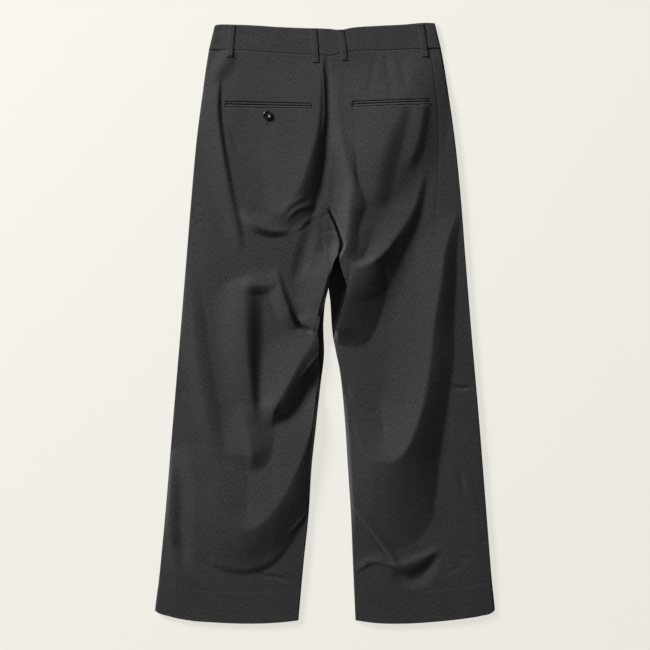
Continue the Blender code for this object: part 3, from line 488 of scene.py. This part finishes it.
def route_points(places):
    """Points along a smooth curve through a fold's places, with height and reaches."""
    knots = np.array(places, float)
    ends = np.vstack([2 * knots[0] - knots[1], knots, 2 * knots[-1] - knots[-2]])
    place = np.linspace(0, len(knots) - 1, ROUTE_STEPS * (len(knots) - 1) + 1)
    first = np.clip(place.astype(int), 0, len(knots) - 2)
    share = (place - first)[:, None]
    before, here, after, beyond = (ends[first + step] for step in range(4))
    bend = 2 * before - 5 * here + 4 * after - beyond
    twist = 3 * here - before - 3 * after + beyond
    return here + 0.5 * ((after - before) * share + bend * share ** 2 + twist * share ** 3)


def fold_height(fold, x, y):
    """Height that one fold adds to the cloth, from the nearest point of its route."""
    route = route_points(fold.places)
    hollow = min(place[2] for place in fold.places) < 0.0
    nearest = np.full(x.shape, np.inf)
    height = np.zeros(x.shape)
    for start, end in zip(route[:-1], route[1:]):
        length = np.hypot(end[0] - start[0], end[1] - start[1])
        ahead = (end[:2] - start[:2]) / length
        run = np.clip((x - start[0]) * ahead[0] + (y - start[1]) * ahead[1], 0.0, length)
        off_x = x - start[0] - run * ahead[0]
        off_y = y - start[1] - run * ahead[1]
        off = np.hypot(off_x, off_y)
        top, right_reach, left_reach = (start[item] + run / length * (end[item] - start[item])
                                        for item in (2, 3, 4))
        on_right = ahead[1] * off_x - ahead[0] * off_y >= 0.0
        share = np.clip(off / np.maximum(np.where(on_right, right_reach, left_reach), 1.0), 0.0, 1.0)
        if hollow:
            sharp = (1.0 - share) ** HOLLOW_CURVE
        else:
            sharp = np.where(on_right, (1.0 - share) ** RIGHT_CURVE, 1.0 - share ** fold.shoulder)
        soft = 0.5 + 0.5 * np.cos(math.pi * share)
        closer = off < nearest
        nearest = np.where(closer, off, nearest)
        height = np.where(closer, top * (fold.crisp * sharp + (1.0 - fold.crisp) * soft), height)
    return height


def folds_of(table, side, x, y):
    """Sum of a table's folds on one leg, each worked out only where it reaches."""
    total = np.zeros(x.shape)
    for fold in table:
        if fold.leg * side.sign < 0:
            continue
        places = np.array(fold.places, float)
        reach = places[:, 3:].max() + 2.0
        low, high = places[:, :2].min(axis=0) - reach, places[:, :2].max(axis=0) + reach
        near = (x > low[0]) & (x < high[0]) & (y > low[1]) & (y < high[1])
        if near.any():
            total[near] += fold_height(fold, x[near], y[near])
    return total


def stands_back(side, y):
    """1 where the inner edge of a back panel stands back from the inseam, 0 where it meets it."""
    width = side.sign * (edge_at(side.back_inner, y) - edge_at(side.inseam, y))
    return ease((width - LIP_FROM) / (LIP_FULL - LIP_FROM))


def thigh_lip(side, x, y):
    """Height of a front panel's inner thigh, turned up in a tuck behind the back panel's edge."""
    inseam = edge_at(side.inseam, y)
    seam = edge_at(side.back_inner, y)
    width = side.sign * (seam - inseam)
    inside = side.sign * (x - inseam)
    amount = (LIP_HEIGHT + np.maximum(folds_of(FOLDS, side, seam, y), 0.0)) * stands_back(side, y)
    climb = ease((inside - width - LIP_SPARE) / LIP_TUCK)
    sink = 1.0 - ease((inside - width - LIP_SPARE - LIP_TUCK) / LIP_SINK)
    return amount * climb * sink


def in_pocket_window(x, y):
    """1 inside the windows that the pocket welts fill, 0 outside."""
    inside = np.zeros(x.shape)
    for pocket in POCKETS:
        share = (x - pocket.inner_x) / (pocket.outer_x - pocket.inner_x)
        top = pocket.top_inner + share * (pocket.top_outer - pocket.top_inner)
        low = pocket.low_inner + share * (pocket.low_outer - pocket.low_inner)
        across = np.minimum(top - y, y - low)
        along = np.minimum(share, 1.0 - share) * abs(pocket.outer_x - pocket.inner_x)
        inside = np.maximum(inside, ease(np.minimum(across, along) / WINDOW_EDGE + 0.5))
    return inside


def seam_relief(side, x, y):
    """Relief of the sewing: centre-back seam, waist seam, hem turn-up and pocket windows."""
    from_centre = np.abs(x - edge_at(side.back_inner, y))
    above_fork = ease((y - CENTRE_SEAM_END) / CENTRE_SEAM_FADE)
    ridge = CENTRE_SEAM_RIDGE * (1.0 - ease(from_centre / CENTRE_SEAM_REACH))
    sunk = 0.5 * SEAM_DEPTH * np.clip(1.0 - from_centre / SEAM_REACH, 0.0, 1.0)
    to_waist = edge_at(WAIST_SEAM, x) - y
    waist = 0.5 * SEAM_DEPTH * np.clip(1.0 - to_waist / SEAM_REACH, 0.0, 1.0) ** 2
    from_hem = y - edge_at(side.hem, x) - HEM_TURN
    hem = HEM_STEP * (1.0 - ease(from_hem / HEM_STEP_REACH + 0.5))
    hem = hem - HEM_DENT * np.exp(-(from_hem / HEM_DENT_REACH) ** 2)
    return (ridge - sunk) * above_fork - waist + hem - WINDOW_DEPTH * in_pocket_window(x, y)


def soft_ripples(x, y):
    """Shallow unevenness that pressed wool keeps, longer down the cloth than across it."""
    height = np.zeros(x.shape)
    for across, along, amount in RIPPLES:
        shares = zip(x / across, y / along)
        height += amount * np.array([noise.noise(Vector((px, py, across))) for px, py in shares])
    return height


def back_top(side, x, y):
    """Top of a back panel: a swollen body with folds, closed down on the front panel at its edges."""
    to_outseam = side.sign * (edge_at(side.outseam, y) - x)
    to_inner = side.sign * (x - edge_at(side.back_inner, y))
    closing = ease((CLOSING_START - y) / CLOSING_REACH) * (1.0 - stands_back(side, y))
    near_waist = ease((y - WAIST_STATION) / END_REACH + 1.0)
    near_hem = ease((HEM_STATION - y) / END_REACH + 1.0)
    swell = BODY_SWELL + (WAIST_SWELL - BODY_SWELL) * near_waist + (HEM_SWELL - BODY_SWELL) * near_hem
    inner_round = 1.0 - closing * (1.0 - swell_share(to_inner))
    inner_free = 1.0 - closing * (1.0 - ease(to_inner / FOLD_REACH))
    lowest = EDGE_TOP + thigh_lip(side, x, y)
    top = EDGE_TOP + swell * swell_share(to_outseam) * inner_round
    free = ease(to_outseam / FOLD_REACH) * inner_free
    top = top + (folds_of(FOLDS, side, x, y) + folds_of(CREASES, side, x, y) + soft_ripples(x, y)) * free
    top = np.maximum(top, lowest + LIE_GAP * np.minimum(swell_share(to_outseam), inner_round))
    return top + seam_relief(side, x, y) * ease(to_outseam / SEAM_REACH)


def band_top(side, x, y):
    """Top of a back waistband, swelling between its ends, with turned edges."""
    to_side = side.sign * (edge_at(side.outseam, y) - x)
    to_edge = np.minimum(edge_at(WAIST_TOP, x) - y, y - edge_at(WAIST_SEAM, x))
    to_edge = np.minimum(to_edge, side.sign * (x - CENTRE_X) + BAND_OVERLAP)
    level = BACK_BAND_LIFT + BAND_CLOTH + BAND_SWELL * rounded_edge(to_side, BAND_REACH)
    wave = 0.5 * soft_ripples(3.0 * x, y) + folds_of(CREASES, side, x, y)
    turned = 1.0 - rounded_edge(np.minimum(to_edge, to_side), BAND_EDGE_ROLL)
    return level + wave * ease(to_edge / BAND_WAVE_REACH) - BAND_EDGE_DROP * turned


def spread(side, share, v, inner):
    """Places for grid shares: from the outseam to the inner edge, and from the hem to the waist seam."""
    station = HEM_STATION + v * (WAIST_STATION - HEM_STATION)
    start = edge_at(side.outseam, station)
    x = start + share * (edge_at(inner, station) - start)
    to_waist = edge_at(WAIST_SEAM, x) - WAIST_STATION
    to_hem = edge_at(side.hem, x) - HEM_STATION
    y = station + to_waist * ease((station - WAIST_STATION) / END_REACH + 1.0)
    y = y + to_hem * ease((HEM_STATION - station) / END_REACH + 1.0)
    return x, y


def crowd_columns(u):
    return u - EDGE_CROWDING * np.sin(2.0 * math.pi * u) / (2.0 * math.pi)


def with_narrow_edges(shares, spread_shares, cells, narrow):
    """Spread shares with one narrow column of cells along each edge, so that the edge is crisp."""
    first = 1.5 / cells
    at_start = (shares > 0.0) & (shares < first)
    at_end = (shares < 1.0) & (shares > 1.0 - first)
    return np.where(at_start, narrow, np.where(at_end, 1.0 - narrow, spread_shares))


def crowd_rows(v):
    return np.interp(v, ROW_SHARES, LENGTH_SHARES)


def linear(hex_colour):
    """Linear colour of an sRGB hex value."""
    parts = [int(hex_colour[start:start + 2], 16) / 255.0 for start in (1, 3, 5)]
    return [part / 12.92 if part <= 0.04045 else ((part + 0.055) / 1.055) ** 2.4 for part in parts] + [1.0]


def add_node(tree, kind, inputs=None, **settings):
    """Adds a node with its own settings; each input takes a value or a link."""
    made = tree.nodes.new("ShaderNode" + kind)
    for name, value in settings.items():
        setattr(made, name, value)
    for name, value in (inputs or {}).items():
        if isinstance(value, bpy.types.NodeSocket):
            tree.links.new(value, made.inputs[name])
        else:
            made.inputs[name].default_value = value
    return made


def new_material(name, colour):
    """An empty material with its shader; colour is what the plain view shows."""
    material = bpy.data.materials.new(name)
    material.use_nodes = True
    material.diffuse_color = linear(colour)
    return material, material.node_tree, material.node_tree.nodes["Principled BSDF"]


def noise_share(tree, place, scale, detail, roughness=0.5):
    """Noise from 0 to 1 at a place."""
    inputs = {"Vector": place, "Scale": scale, "Detail": detail, "Roughness": roughness}
    return add_node(tree, "TexNoise", inputs).outputs["Fac"]


def multiply_add(tree, value, factor, rest):
    return add_node(tree, "Math", {0: value, 1: factor, 2: rest}, operation="MULTIPLY_ADD").outputs[0]


def wool_suiting():
    """Charcoal worsted twill, milled and pressed: matt, with a melange of lighter and darker yarns."""
    material, tree, shader = new_material("charcoal_wool_suiting", "#404040")
    grain = add_node(tree, "UVMap", uv_map="grain").outputs["UV"]
    # Yarns are 0.4 mm apart; the streaks are drawn about 1.5 mm wide so that they show
    warp = add_node(tree, "Mapping", {"Vector": grain, "Scale": (720.0, 170.0, 1.0)})
    weft = add_node(tree, "Mapping", {"Vector": grain, "Scale": (260.0, 700.0, 1.0)})
    streaks = noise_share(tree, warp.outputs[0], 1.0, 3.0, 0.65)
    slubs = noise_share(tree, weft.outputs[0], 1.0, 2.0, 0.6)
    flecks = noise_share(tree, grain, 620.0, 4.0, 0.75)
    clouds = noise_share(tree, grain, 14.0, 2.0)
    yarns = multiply_add(tree, slubs, 0.4, multiply_add(tree, streaks, 1.2, -0.6))
    speckled = multiply_add(tree, flecks, 0.9, yarns)
    tone = add_node(tree, "ValToRGB", {"Fac": multiply_add(tree, clouds, 0.16, speckled)})
    ramp = tone.color_ramp
    ramp.elements[0].position, ramp.elements[0].color = 0.36, linear("#1b1b1c")
    ramp.elements[1].position, ramp.elements[1].color = 1.04, linear("#464647")
    tree.links.new(tone.outputs["Color"], shader.inputs["Base Color"])
    # Twill lines at 63 degrees, 0.9 mm apart, seen only close up
    turned = add_node(tree, "Mapping", {"Vector": grain, "Rotation": (0.0, 0.0, math.radians(-27.0))})
    lines = {"Vector": turned.outputs[0], "Scale": 350.0, "Distortion": 1.2, "Detail": 1.0}
    relief = multiply_add(tree, add_node(tree, "TexWave", lines).outputs["Fac"], 0.5, speckled)
    bump = add_node(tree, "Bump", {"Height": relief, "Strength": 0.35, "Distance": 0.0003})
    tree.links.new(bump.outputs["Normal"], shader.inputs["Normal"])
    shader.inputs["Roughness"].default_value = 0.9
    shader.inputs["Specular IOR Level"].default_value = 0.25
    shader.inputs["Sheen Weight"].default_value = 0.12
    shader.inputs["Sheen Roughness"].default_value = 0.5
    return material


def horn_button():
    """Dyed horn, turned and polished: near black, a little cloudy, with a sharp highlight."""
    material, tree, shader = new_material("dyed_horn", "#101010")
    place = add_node(tree, "TexCoord").outputs["Object"]
    tone = add_node(tree, "ValToRGB", {"Fac": noise_share(tree, place, 320.0, 3.0)})
    tone.color_ramp.elements[0].color = linear("#060606")
    tone.color_ramp.elements[1].color = linear("#1c1a18")
    tree.links.new(tone.outputs["Color"], shader.inputs["Base Color"])
    shader.inputs["Roughness"].default_value = 0.3
    shader.inputs["IOR"].default_value = 1.5
    return material


def sewing_thread():
    """Black spun polyester thread, two-ply: slightly shiny with a fine twist."""
    material, tree, shader = new_material("black_thread", "#1a1a1b")
    place = add_node(tree, "TexCoord").outputs["Object"]
    ply = {"Vector": place, "Scale": 900.0, "Distortion": 2.0}
    twist = add_node(tree, "TexWave", ply, bands_direction="DIAGONAL")
    tone = add_node(tree, "ValToRGB", {"Fac": twist.outputs["Fac"]})
    tone.color_ramp.elements[0].color = linear("#0e0e0f")
    tone.color_ramp.elements[1].color = linear("#262627")
    tree.links.new(tone.outputs["Color"], shader.inputs["Base Color"])
    bump = add_node(tree, "Bump", {"Height": twist.outputs["Fac"], "Strength": 0.5, "Distance": 0.0001})
    tree.links.new(bump.outputs["Normal"], shader.inputs["Normal"])
    shader.inputs["Roughness"].default_value = 0.55
    return material


def table_paper():
    """Warm white seamless paper, lit from below as a product table is."""
    material, tree, shader = new_material("seamless_paper", "#f0eee8")
    shader.inputs["Base Color"].default_value = linear("#878580")
    shader.inputs["Roughness"].default_value = 1.0
    shader.inputs["Specular IOR Level"].default_value = 0.0
    shader.inputs["Emission Color"].default_value = linear("#f0ede6")
    shader.inputs["Emission Strength"].default_value = 0.82
    return material


def add_object(name, data):
    made = bpy.data.objects.new(name, data)
    bpy.context.scene.collection.objects.link(made)
    return made


def object_from(name, bm):
    mesh = bpy.data.meshes.new(name)
    bm.to_mesh(mesh)
    bm.free()
    return add_object(name, mesh)


def add_piece(name, bm, material, nodes):
    """Turns a bmesh into a piece that rides on the garment and stands for CAD nodes."""
    piece = object_from(name, bm)
    for face in piece.data.polygons:
        face.use_smooth = True
    piece.data.materials.append(material)
    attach(piece, "root")
    if nodes:
        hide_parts(*nodes)
    return piece


def cloth_piece(name, nodes, cells, place, thickness, grain_turn):
    """A sheet of suiting: a grid laid out by place(u, v), which gives X, Y and the top Z."""
    bm = bmesh.new()
    bmesh.ops.create_grid(bm, x_segments=cells[0], y_segments=cells[1], size=0.5)
    piece = add_piece(name, bm, SUITING, nodes)
    mesh = piece.data
    flat = np.empty(3 * len(mesh.vertices))
    mesh.vertices.foreach_get("co", flat)
    shares = flat.reshape(-1, 3)
    x, y, top = place(shares[:, 0] + 0.5, shares[:, 1] + 0.5)
    mesh.vertices.foreach_set("co", (np.stack([x, y, top], axis=1) * MM).ravel())
    mesh.update()
    if mesh.polygons[0].normal.z < 0.0:
        mesh.flip_normals()
    turn = math.radians(grain_turn)
    cosine, sine = math.cos(turn), math.sin(turn)
    grain = np.stack([x * cosine - y * sine, x * sine + y * cosine], axis=1)
    corners = np.empty(len(mesh.loops), int)
    mesh.loops.foreach_get("vertex_index", corners)
    mesh.uv_layers.new(name="grain").data.foreach_set("uv", (grain[corners] * MM).ravel())
    mesh.update()
    shell = piece.modifiers.new("cloth_thickness", "SOLIDIFY")
    shell.thickness = thickness * MM
    shell.offset = -1.0
    return piece


def back_panel(side):
    def place(u, v):
        columns = with_narrow_edges(u, crowd_columns(u), BACK_CELLS[0], EDGE_COLUMN)
        x, y = spread(side, columns, crowd_rows(v), side.back_inner)
        return x, y, back_top(side, x, y)
    nodes = ["back_panel_" + side.name]
    return cloth_piece("back_cloth_" + side.name, nodes, BACK_CELLS, place, SUITING_CLOTH, side.grain_turn)


def front_panel(side):
    """Front panel on the table, with two pleats that fade out down the thigh."""
    def place(u, v):
        share = crowd_columns(u)
        x, y = spread(side, share, v, side.inseam)
        pleats = PLEAT_DEPTH * np.interp(share, PLEAT_SHARES, PLEAT_LEVELS)
        lower = pleats * ease((y - WAIST_STATION) / PLEAT_LENGTH + 1.0) + thigh_lip(side, x, y)
        return x, y, lower + FRONT_CLOTH
    nodes = ["front_panel_" + side.name]
    return cloth_piece("front_cloth_" + side.name, nodes, FRONT_CELLS, place, FRONT_CLOTH, side.grain_turn)


def waistband(side, name, node, top_of):
    def place(u, v):
        rows = with_narrow_edges(v, crowd_columns(v), BAND_CELLS[1], BAND_EDGE_ROW)
        columns = with_narrow_edges(u, crowd_columns(u), BAND_CELLS[0], BAND_EDGE_COLUMN)
        height = WAIST_STATION + rows * (WAIST_TOP[2].across - WAIST_STATION)
        start = edge_at(side.outseam, height)
        x = start + columns * (CENTRE_X - start)
        low = edge_at(WAIST_SEAM, x)
        y = low + rows * (edge_at(WAIST_TOP, x) - low)
        return x, y, top_of(side, x, y)
    return cloth_piece(name, [node], BAND_CELLS, place, BAND_CLOTH, BAND_GRAIN_TURN)


def surface_tree(piece):
    """Search tree of a piece's faces."""
    points = [vert.co for vert in piece.data.vertices]
    return BVHTree.FromPolygons(points, [face.vertices for face in piece.data.polygons])


def level_on(trees, x, y, spare=0.0):
    """Highest Z of the pieces under each place and, with spare, close around it."""
    steps = ((0.0, 0.0), (spare, 0.0), (-spare, 0.0), (0.0, spare), (0.0, -spare))
    levels = []
    for place_x, place_y in zip(np.atleast_1d(x), np.atleast_1d(y)):
        starts = [Vector(((place_x + dx) * MM, (place_y + dy) * MM, 1.0)) for dx, dy in steps]
        hits = [tree.ray_cast(start, DOWN)[0] for tree in trees for start in starts]
        levels.append(max([hit.z for hit in hits if hit] or [0.0]) / MM)
    return np.array(levels)


def belt_loop(loop, nodes, trees, base, arch):
    """Strap of folded suiting, arched so that a belt passes under it."""
    def place(u, v):
        columns = with_narrow_edges(u, u, LOOP_CELLS[0], LOOP_EDGE)
        middle_x = loop.upper[0] + v * (loop.lower[0] - loop.upper[0])
        x = middle_x + (columns - 0.5) * LOOP_WIDTH
        y = loop.upper[1] + v * (loop.lower[1] - loop.upper[1])
        under = base + level_on(trees, middle_x, y, LOOP_SPARE)
        rim = 1.0 - rounded_edge(0.5 - np.abs(columns - 0.5), LOOP_RIM_SHARE)
        rise = arch * np.sin(math.pi * v) ** LOOP_ARCH_CURVE
        crown = LOOP_CROWN * np.sin(math.pi * columns)
        return x, y, under + LOOP_CLOTH + rise + crown - LOOP_RIM_DROP * rim
    return cloth_piece("loop_" + loop.name, nodes, LOOP_CELLS, place, LOOP_CLOTH, LOOP_GRAIN_TURN)


def welt(pocket, name, node, low, high, tree):
    """One jet of a pocket: folded suiting that rolls up out of the window in the panel."""
    def place(u, v):
        share = WELT_END_SHARE + (1.0 - 2.0 * WELT_END_SHARE) * u
        x = pocket.inner_x + share * (pocket.outer_x - pocket.inner_x)
        inner = low[0] + v * (high[0] - low[0])
        outer = low[1] + v * (high[1] - low[1])
        y = inner + u * (outer - inner)
        roll = WELT_ROLL * rounded_edge(0.5 - np.abs(v - 0.5), 0.5)
        return x, y, level_on([tree], x, y) + WELT_LIFT + roll
    return cloth_piece(name, [node], WELT_CELLS, place, WELT_CLOTH, 0.0)


def pocket_welts(pocket, tree):
    middle_inner = 0.5 * (pocket.top_inner + pocket.low_inner)
    middle_outer = 0.5 * (pocket.top_outer + pocket.low_outer)
    half = 0.5 * WELT_SLIT
    upper = ((middle_inner + half, middle_outer + half),
             (pocket.top_inner - WELT_UPPER_GAP, pocket.top_outer - WELT_UPPER_GAP))
    lower = ((pocket.low_inner + WELT_LOWER_GAP, pocket.low_outer + WELT_LOWER_GAP),
             (middle_inner - half, middle_outer - half))
    return [
        welt(pocket, pocket.name + "_upper_jet", pocket.name + "_upper_welt", upper[0], upper[1], tree),
        welt(pocket, pocket.name + "_lower_jet", pocket.name + "_lower_welt", lower[0], lower[1], tree),
    ]


def stitches(name, marks, length, thickness):
    """Short thread stitches: each mark gives X, Y, Z of the middle and the direction in degrees."""
    bm = bmesh.new()
    for x, y, z, turn in marks:
        place = Matrix.Translation((x * MM, y * MM, z * MM)) @ Matrix.Rotation(math.radians(turn), 4, "Z")
        size = Matrix.Diagonal((0.5 * length * MM, 0.5 * thickness * MM, 0.4 * thickness * MM, 1.0))
        bmesh.ops.create_icosphere(bm, subdivisions=1, radius=1.0, matrix=place @ size)
    add_piece(name, bm, THREAD, [])


def line_marks(start, finish, count, turn, trees, lift):
    """Marks for a straight row of stitches that lies on the pieces below it."""
    shares = np.linspace(0.0, 1.0, count)
    x = start[0] + shares * (finish[0] - start[0])
    y = start[1] + shares * (finish[1] - start[1])
    z = level_on(trees, x, y) + lift
    return [(px, py, pz, turn) for px, py, pz in zip(x, y, z)]


def pocket_button(tree):
    """Turned four-hole button with a raised rim and a dished middle."""
    centre_x, centre_y = BUTTON_PLACE
    around = np.linspace(0.0, 2.0 * math.pi, 24)
    rim_x = centre_x + BUTTON_RADIUS * np.cos(around)
    rim_y = centre_y + BUTTON_RADIUS * np.sin(around)
    seat = level_on([tree], rim_x, rim_y).max() + BUTTON_LIFT
    half = 0.5 * BUTTON_THICKNESS
    profile = ((0.0, half - BUTTON_DISH), (3.6, half - BUTTON_DISH), (4.6, half - 0.7), (5.2, half - 0.1),
               (6.0, half), (6.9, half - 0.25), (7.4, half - 0.8), (BUTTON_RADIUS, 0.0),
               (7.1, -half + 0.6), (5.8, -half), (0.0, -half))
    bm = bmesh.new()
    verts = [bm.verts.new((radius * MM, 0.0, height * MM)) for radius, height in profile]
    edges = [bm.edges.new(pair) for pair in zip(verts[:-1], verts[1:])]
    bmesh.ops.spin(bm, geom=verts + edges, cent=(0, 0, 0), axis=(0, 0, 1), angle=2.0 * math.pi, steps=48,
                   use_merge=True, use_duplicate=False)
    bmesh.ops.remove_doubles(bm, verts=bm.verts[:], dist=0.01 * MM)
    bmesh.ops.recalc_face_normals(bm, faces=bm.faces[:])
    button = add_piece("horn_button", bm, HORN, ["pocket_button"])
    cutter_bm = bmesh.new()
    for turn in (45, 135, 225, 315):
        spot = Matrix.Rotation(math.radians(turn), 4, "Z") @ Vector((HOLE_OFFSET * MM, 0.0, 0.0))
        bmesh.ops.create_cone(cutter_bm, cap_ends=True, segments=16, radius1=HOLE_RADIUS * MM,
                              radius2=HOLE_RADIUS * MM, depth=6.0 * MM, matrix=Matrix.Translation(spot))
    cutter = object_from("hole_cutter", cutter_bm)
    holes = button.modifiers.new("holes", "BOOLEAN")
    holes.operation, holes.solver, holes.object = "DIFFERENCE", "EXACT", cutter
    bpy.context.view_layer.update()
    drilled = bpy.data.meshes.new_from_object(button.evaluated_get(bpy.context.evaluated_depsgraph_get()))
    button.modifiers.clear()
    bpy.data.objects.remove(cutter)
    button.data = drilled
    drilled.transform(Matrix.Translation((centre_x * MM, centre_y * MM, (seat + half) * MM)))
    drilled.update()
    level = seat + BUTTON_THICKNESS - BUTTON_DISH
    cross = [(centre_x + dx, centre_y + dy, level + 0.15, turn)
             for dx, dy, turn in ((0.0, 0.2, 45), (0.2, 0.0, 135), (0.0, -0.2, 45), (-0.2, 0.0, 135))]
    stitches("button_thread", cross, 3.2, 0.5)


def buttonhole(tree):
    """Worked vertical buttonhole: a close row of stitches on each side of the cut and a bar at its end."""
    marks = []
    top, low = BUTTONHOLE
    middle = BUTTON_PLACE[0]
    for x in (middle - BUTTONHOLE_HALF, middle + BUTTONHOLE_HALF):
        marks += line_marks((x, top), (x, low), BUTTONHOLE_STITCHES, 0.0, [tree], 0.15)
    bar_half, below, bar_stitches = BUTTONHOLE_BAR
    bar = (middle - bar_half, low - below), (middle + bar_half, low - below)
    marks += line_marks(bar[0], bar[1], bar_stitches, 90.0, [tree], 0.25)
    stitches("buttonhole_stitches", marks, 1.7, THREAD_WIDTH)


for old in list(bpy.data.objects):
    if old.type in {"CAMERA", "LIGHT"}:
        bpy.data.objects.remove(old)

SUITING = wool_suiting()
HORN = horn_button()
THREAD = sewing_thread()

panel_trees, band_trees = [], []
for side in SIDES:
    front = front_panel(side)
    back = back_panel(side)
    panel_trees.append(surface_tree(back))
    front_band = waistband(side, "front_band_" + side.name, "front_waistband_" + side.name,
                           lambda side, x, y: np.full(x.shape, FRONT_BAND_LIFT + BAND_CLOTH))
    back_band = waistband(side, "back_band_" + side.name, "back_waistband_" + side.name, band_top)
    band_trees.append(surface_tree(back_band))

tacks = []
for loop in LOOPS:
    strap = belt_loop(loop, ["belt_loop_" + loop.name], panel_trees + band_trees, 0.0, LOOP_ARCH)
    tree = surface_tree(strap)
    lower_tack = (loop.lower[0], loop.lower[1] + TACK_FROM_LOWER)
    upper_tack = (loop.upper[0], loop.upper[1] - TACK_FROM_UPPER)
    for x, y in (lower_tack, upper_tack):
        tacks += line_marks((x - TACK_HALF, y), (x + TACK_HALF, y), TACK_STITCHES, 90.0, [tree], 0.1)
stitches("loop_bar_tacks", tacks, 1.5, THREAD_WIDTH)
for loop in FRONT_LOOPS:
    strap = belt_loop(loop, ["belt_loop_" + loop.name], [], FRONT_LOOP_LIFT, 0.0)

ends = []
for pocket in POCKETS:
    tree = panel_trees[pocket.side]
    for jet in pocket_welts(pocket, tree):
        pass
    for x, top, low in ((pocket.inner_x, pocket.top_inner, pocket.low_inner),
                        (pocket.outer_x, pocket.top_outer, pocket.low_outer)):
        ends += line_marks((x, top), (x, low), 20, 0.0, [tree], 0.9)
stitches("pocket_end_tacks", ends, 1.6, THREAD_WIDTH)
buttonhole(panel_trees[0])
pocket_button(panel_trees[0])

floor_bm = bmesh.new()
bmesh.ops.create_grid(floor_bm, x_segments=1, y_segments=1, size=6.0)
floor = object_from("seamless_paper", floor_bm)
floor.data.materials.append(table_paper())

# Camera straight above the table, and one square softbox; the azimuth is from +X.
# The width of the picture is measured on the table.
PICTURE_WIDTH = 1.105
KEY_POWER = 440.0
KEY_SIZE = 1.2
KEY_AZIMUTH = 138.0
KEY_ELEVATION = 19.0
KEY_DISTANCE = 5.0
STUDIO_LIGHT = 0.13
CAMERA_HEIGHT = 2.6
CAMERA_PLACE = (0.9, -2.55)
SENSOR_WIDTH = 36.0
camera_data = bpy.data.cameras.new("camera")
camera_data.sensor_width = SENSOR_WIDTH
camera_data.lens = SENSOR_WIDTH * CAMERA_HEIGHT / PICTURE_WIDTH
camera = add_object("camera", camera_data)
camera.location = (CAMERA_PLACE[0] * MM, CAMERA_PLACE[1] * MM, CAMERA_HEIGHT)
bpy.context.scene.camera = camera

key_data = bpy.data.lights.new("key", "AREA")
key_data.energy = KEY_POWER
key_data.size = KEY_SIZE
key = add_object("key", key_data)
key.rotation_euler = (0.0, math.radians(90.0 - KEY_ELEVATION), math.radians(KEY_AZIMUTH))
key.location = key.rotation_euler.to_matrix() @ Vector((0.0, 0.0, KEY_DISTANCE))

world = bpy.data.worlds.new("studio")
world.use_nodes = True
sky = world.node_tree.nodes["Background"]
sky.inputs["Color"].default_value = linear("#f0ede6")
seen = add_node(world.node_tree, "LightPath").outputs["Is Camera Ray"]
strength = add_node(world.node_tree, "MapRange", {"Value": seen, "To Min": STUDIO_LIGHT})
world.node_tree.links.new(strength.outputs["Result"], sky.inputs["Strength"])
bpy.context.scene.world = world
bpy.context.scene.view_settings.view_transform = "Standard"
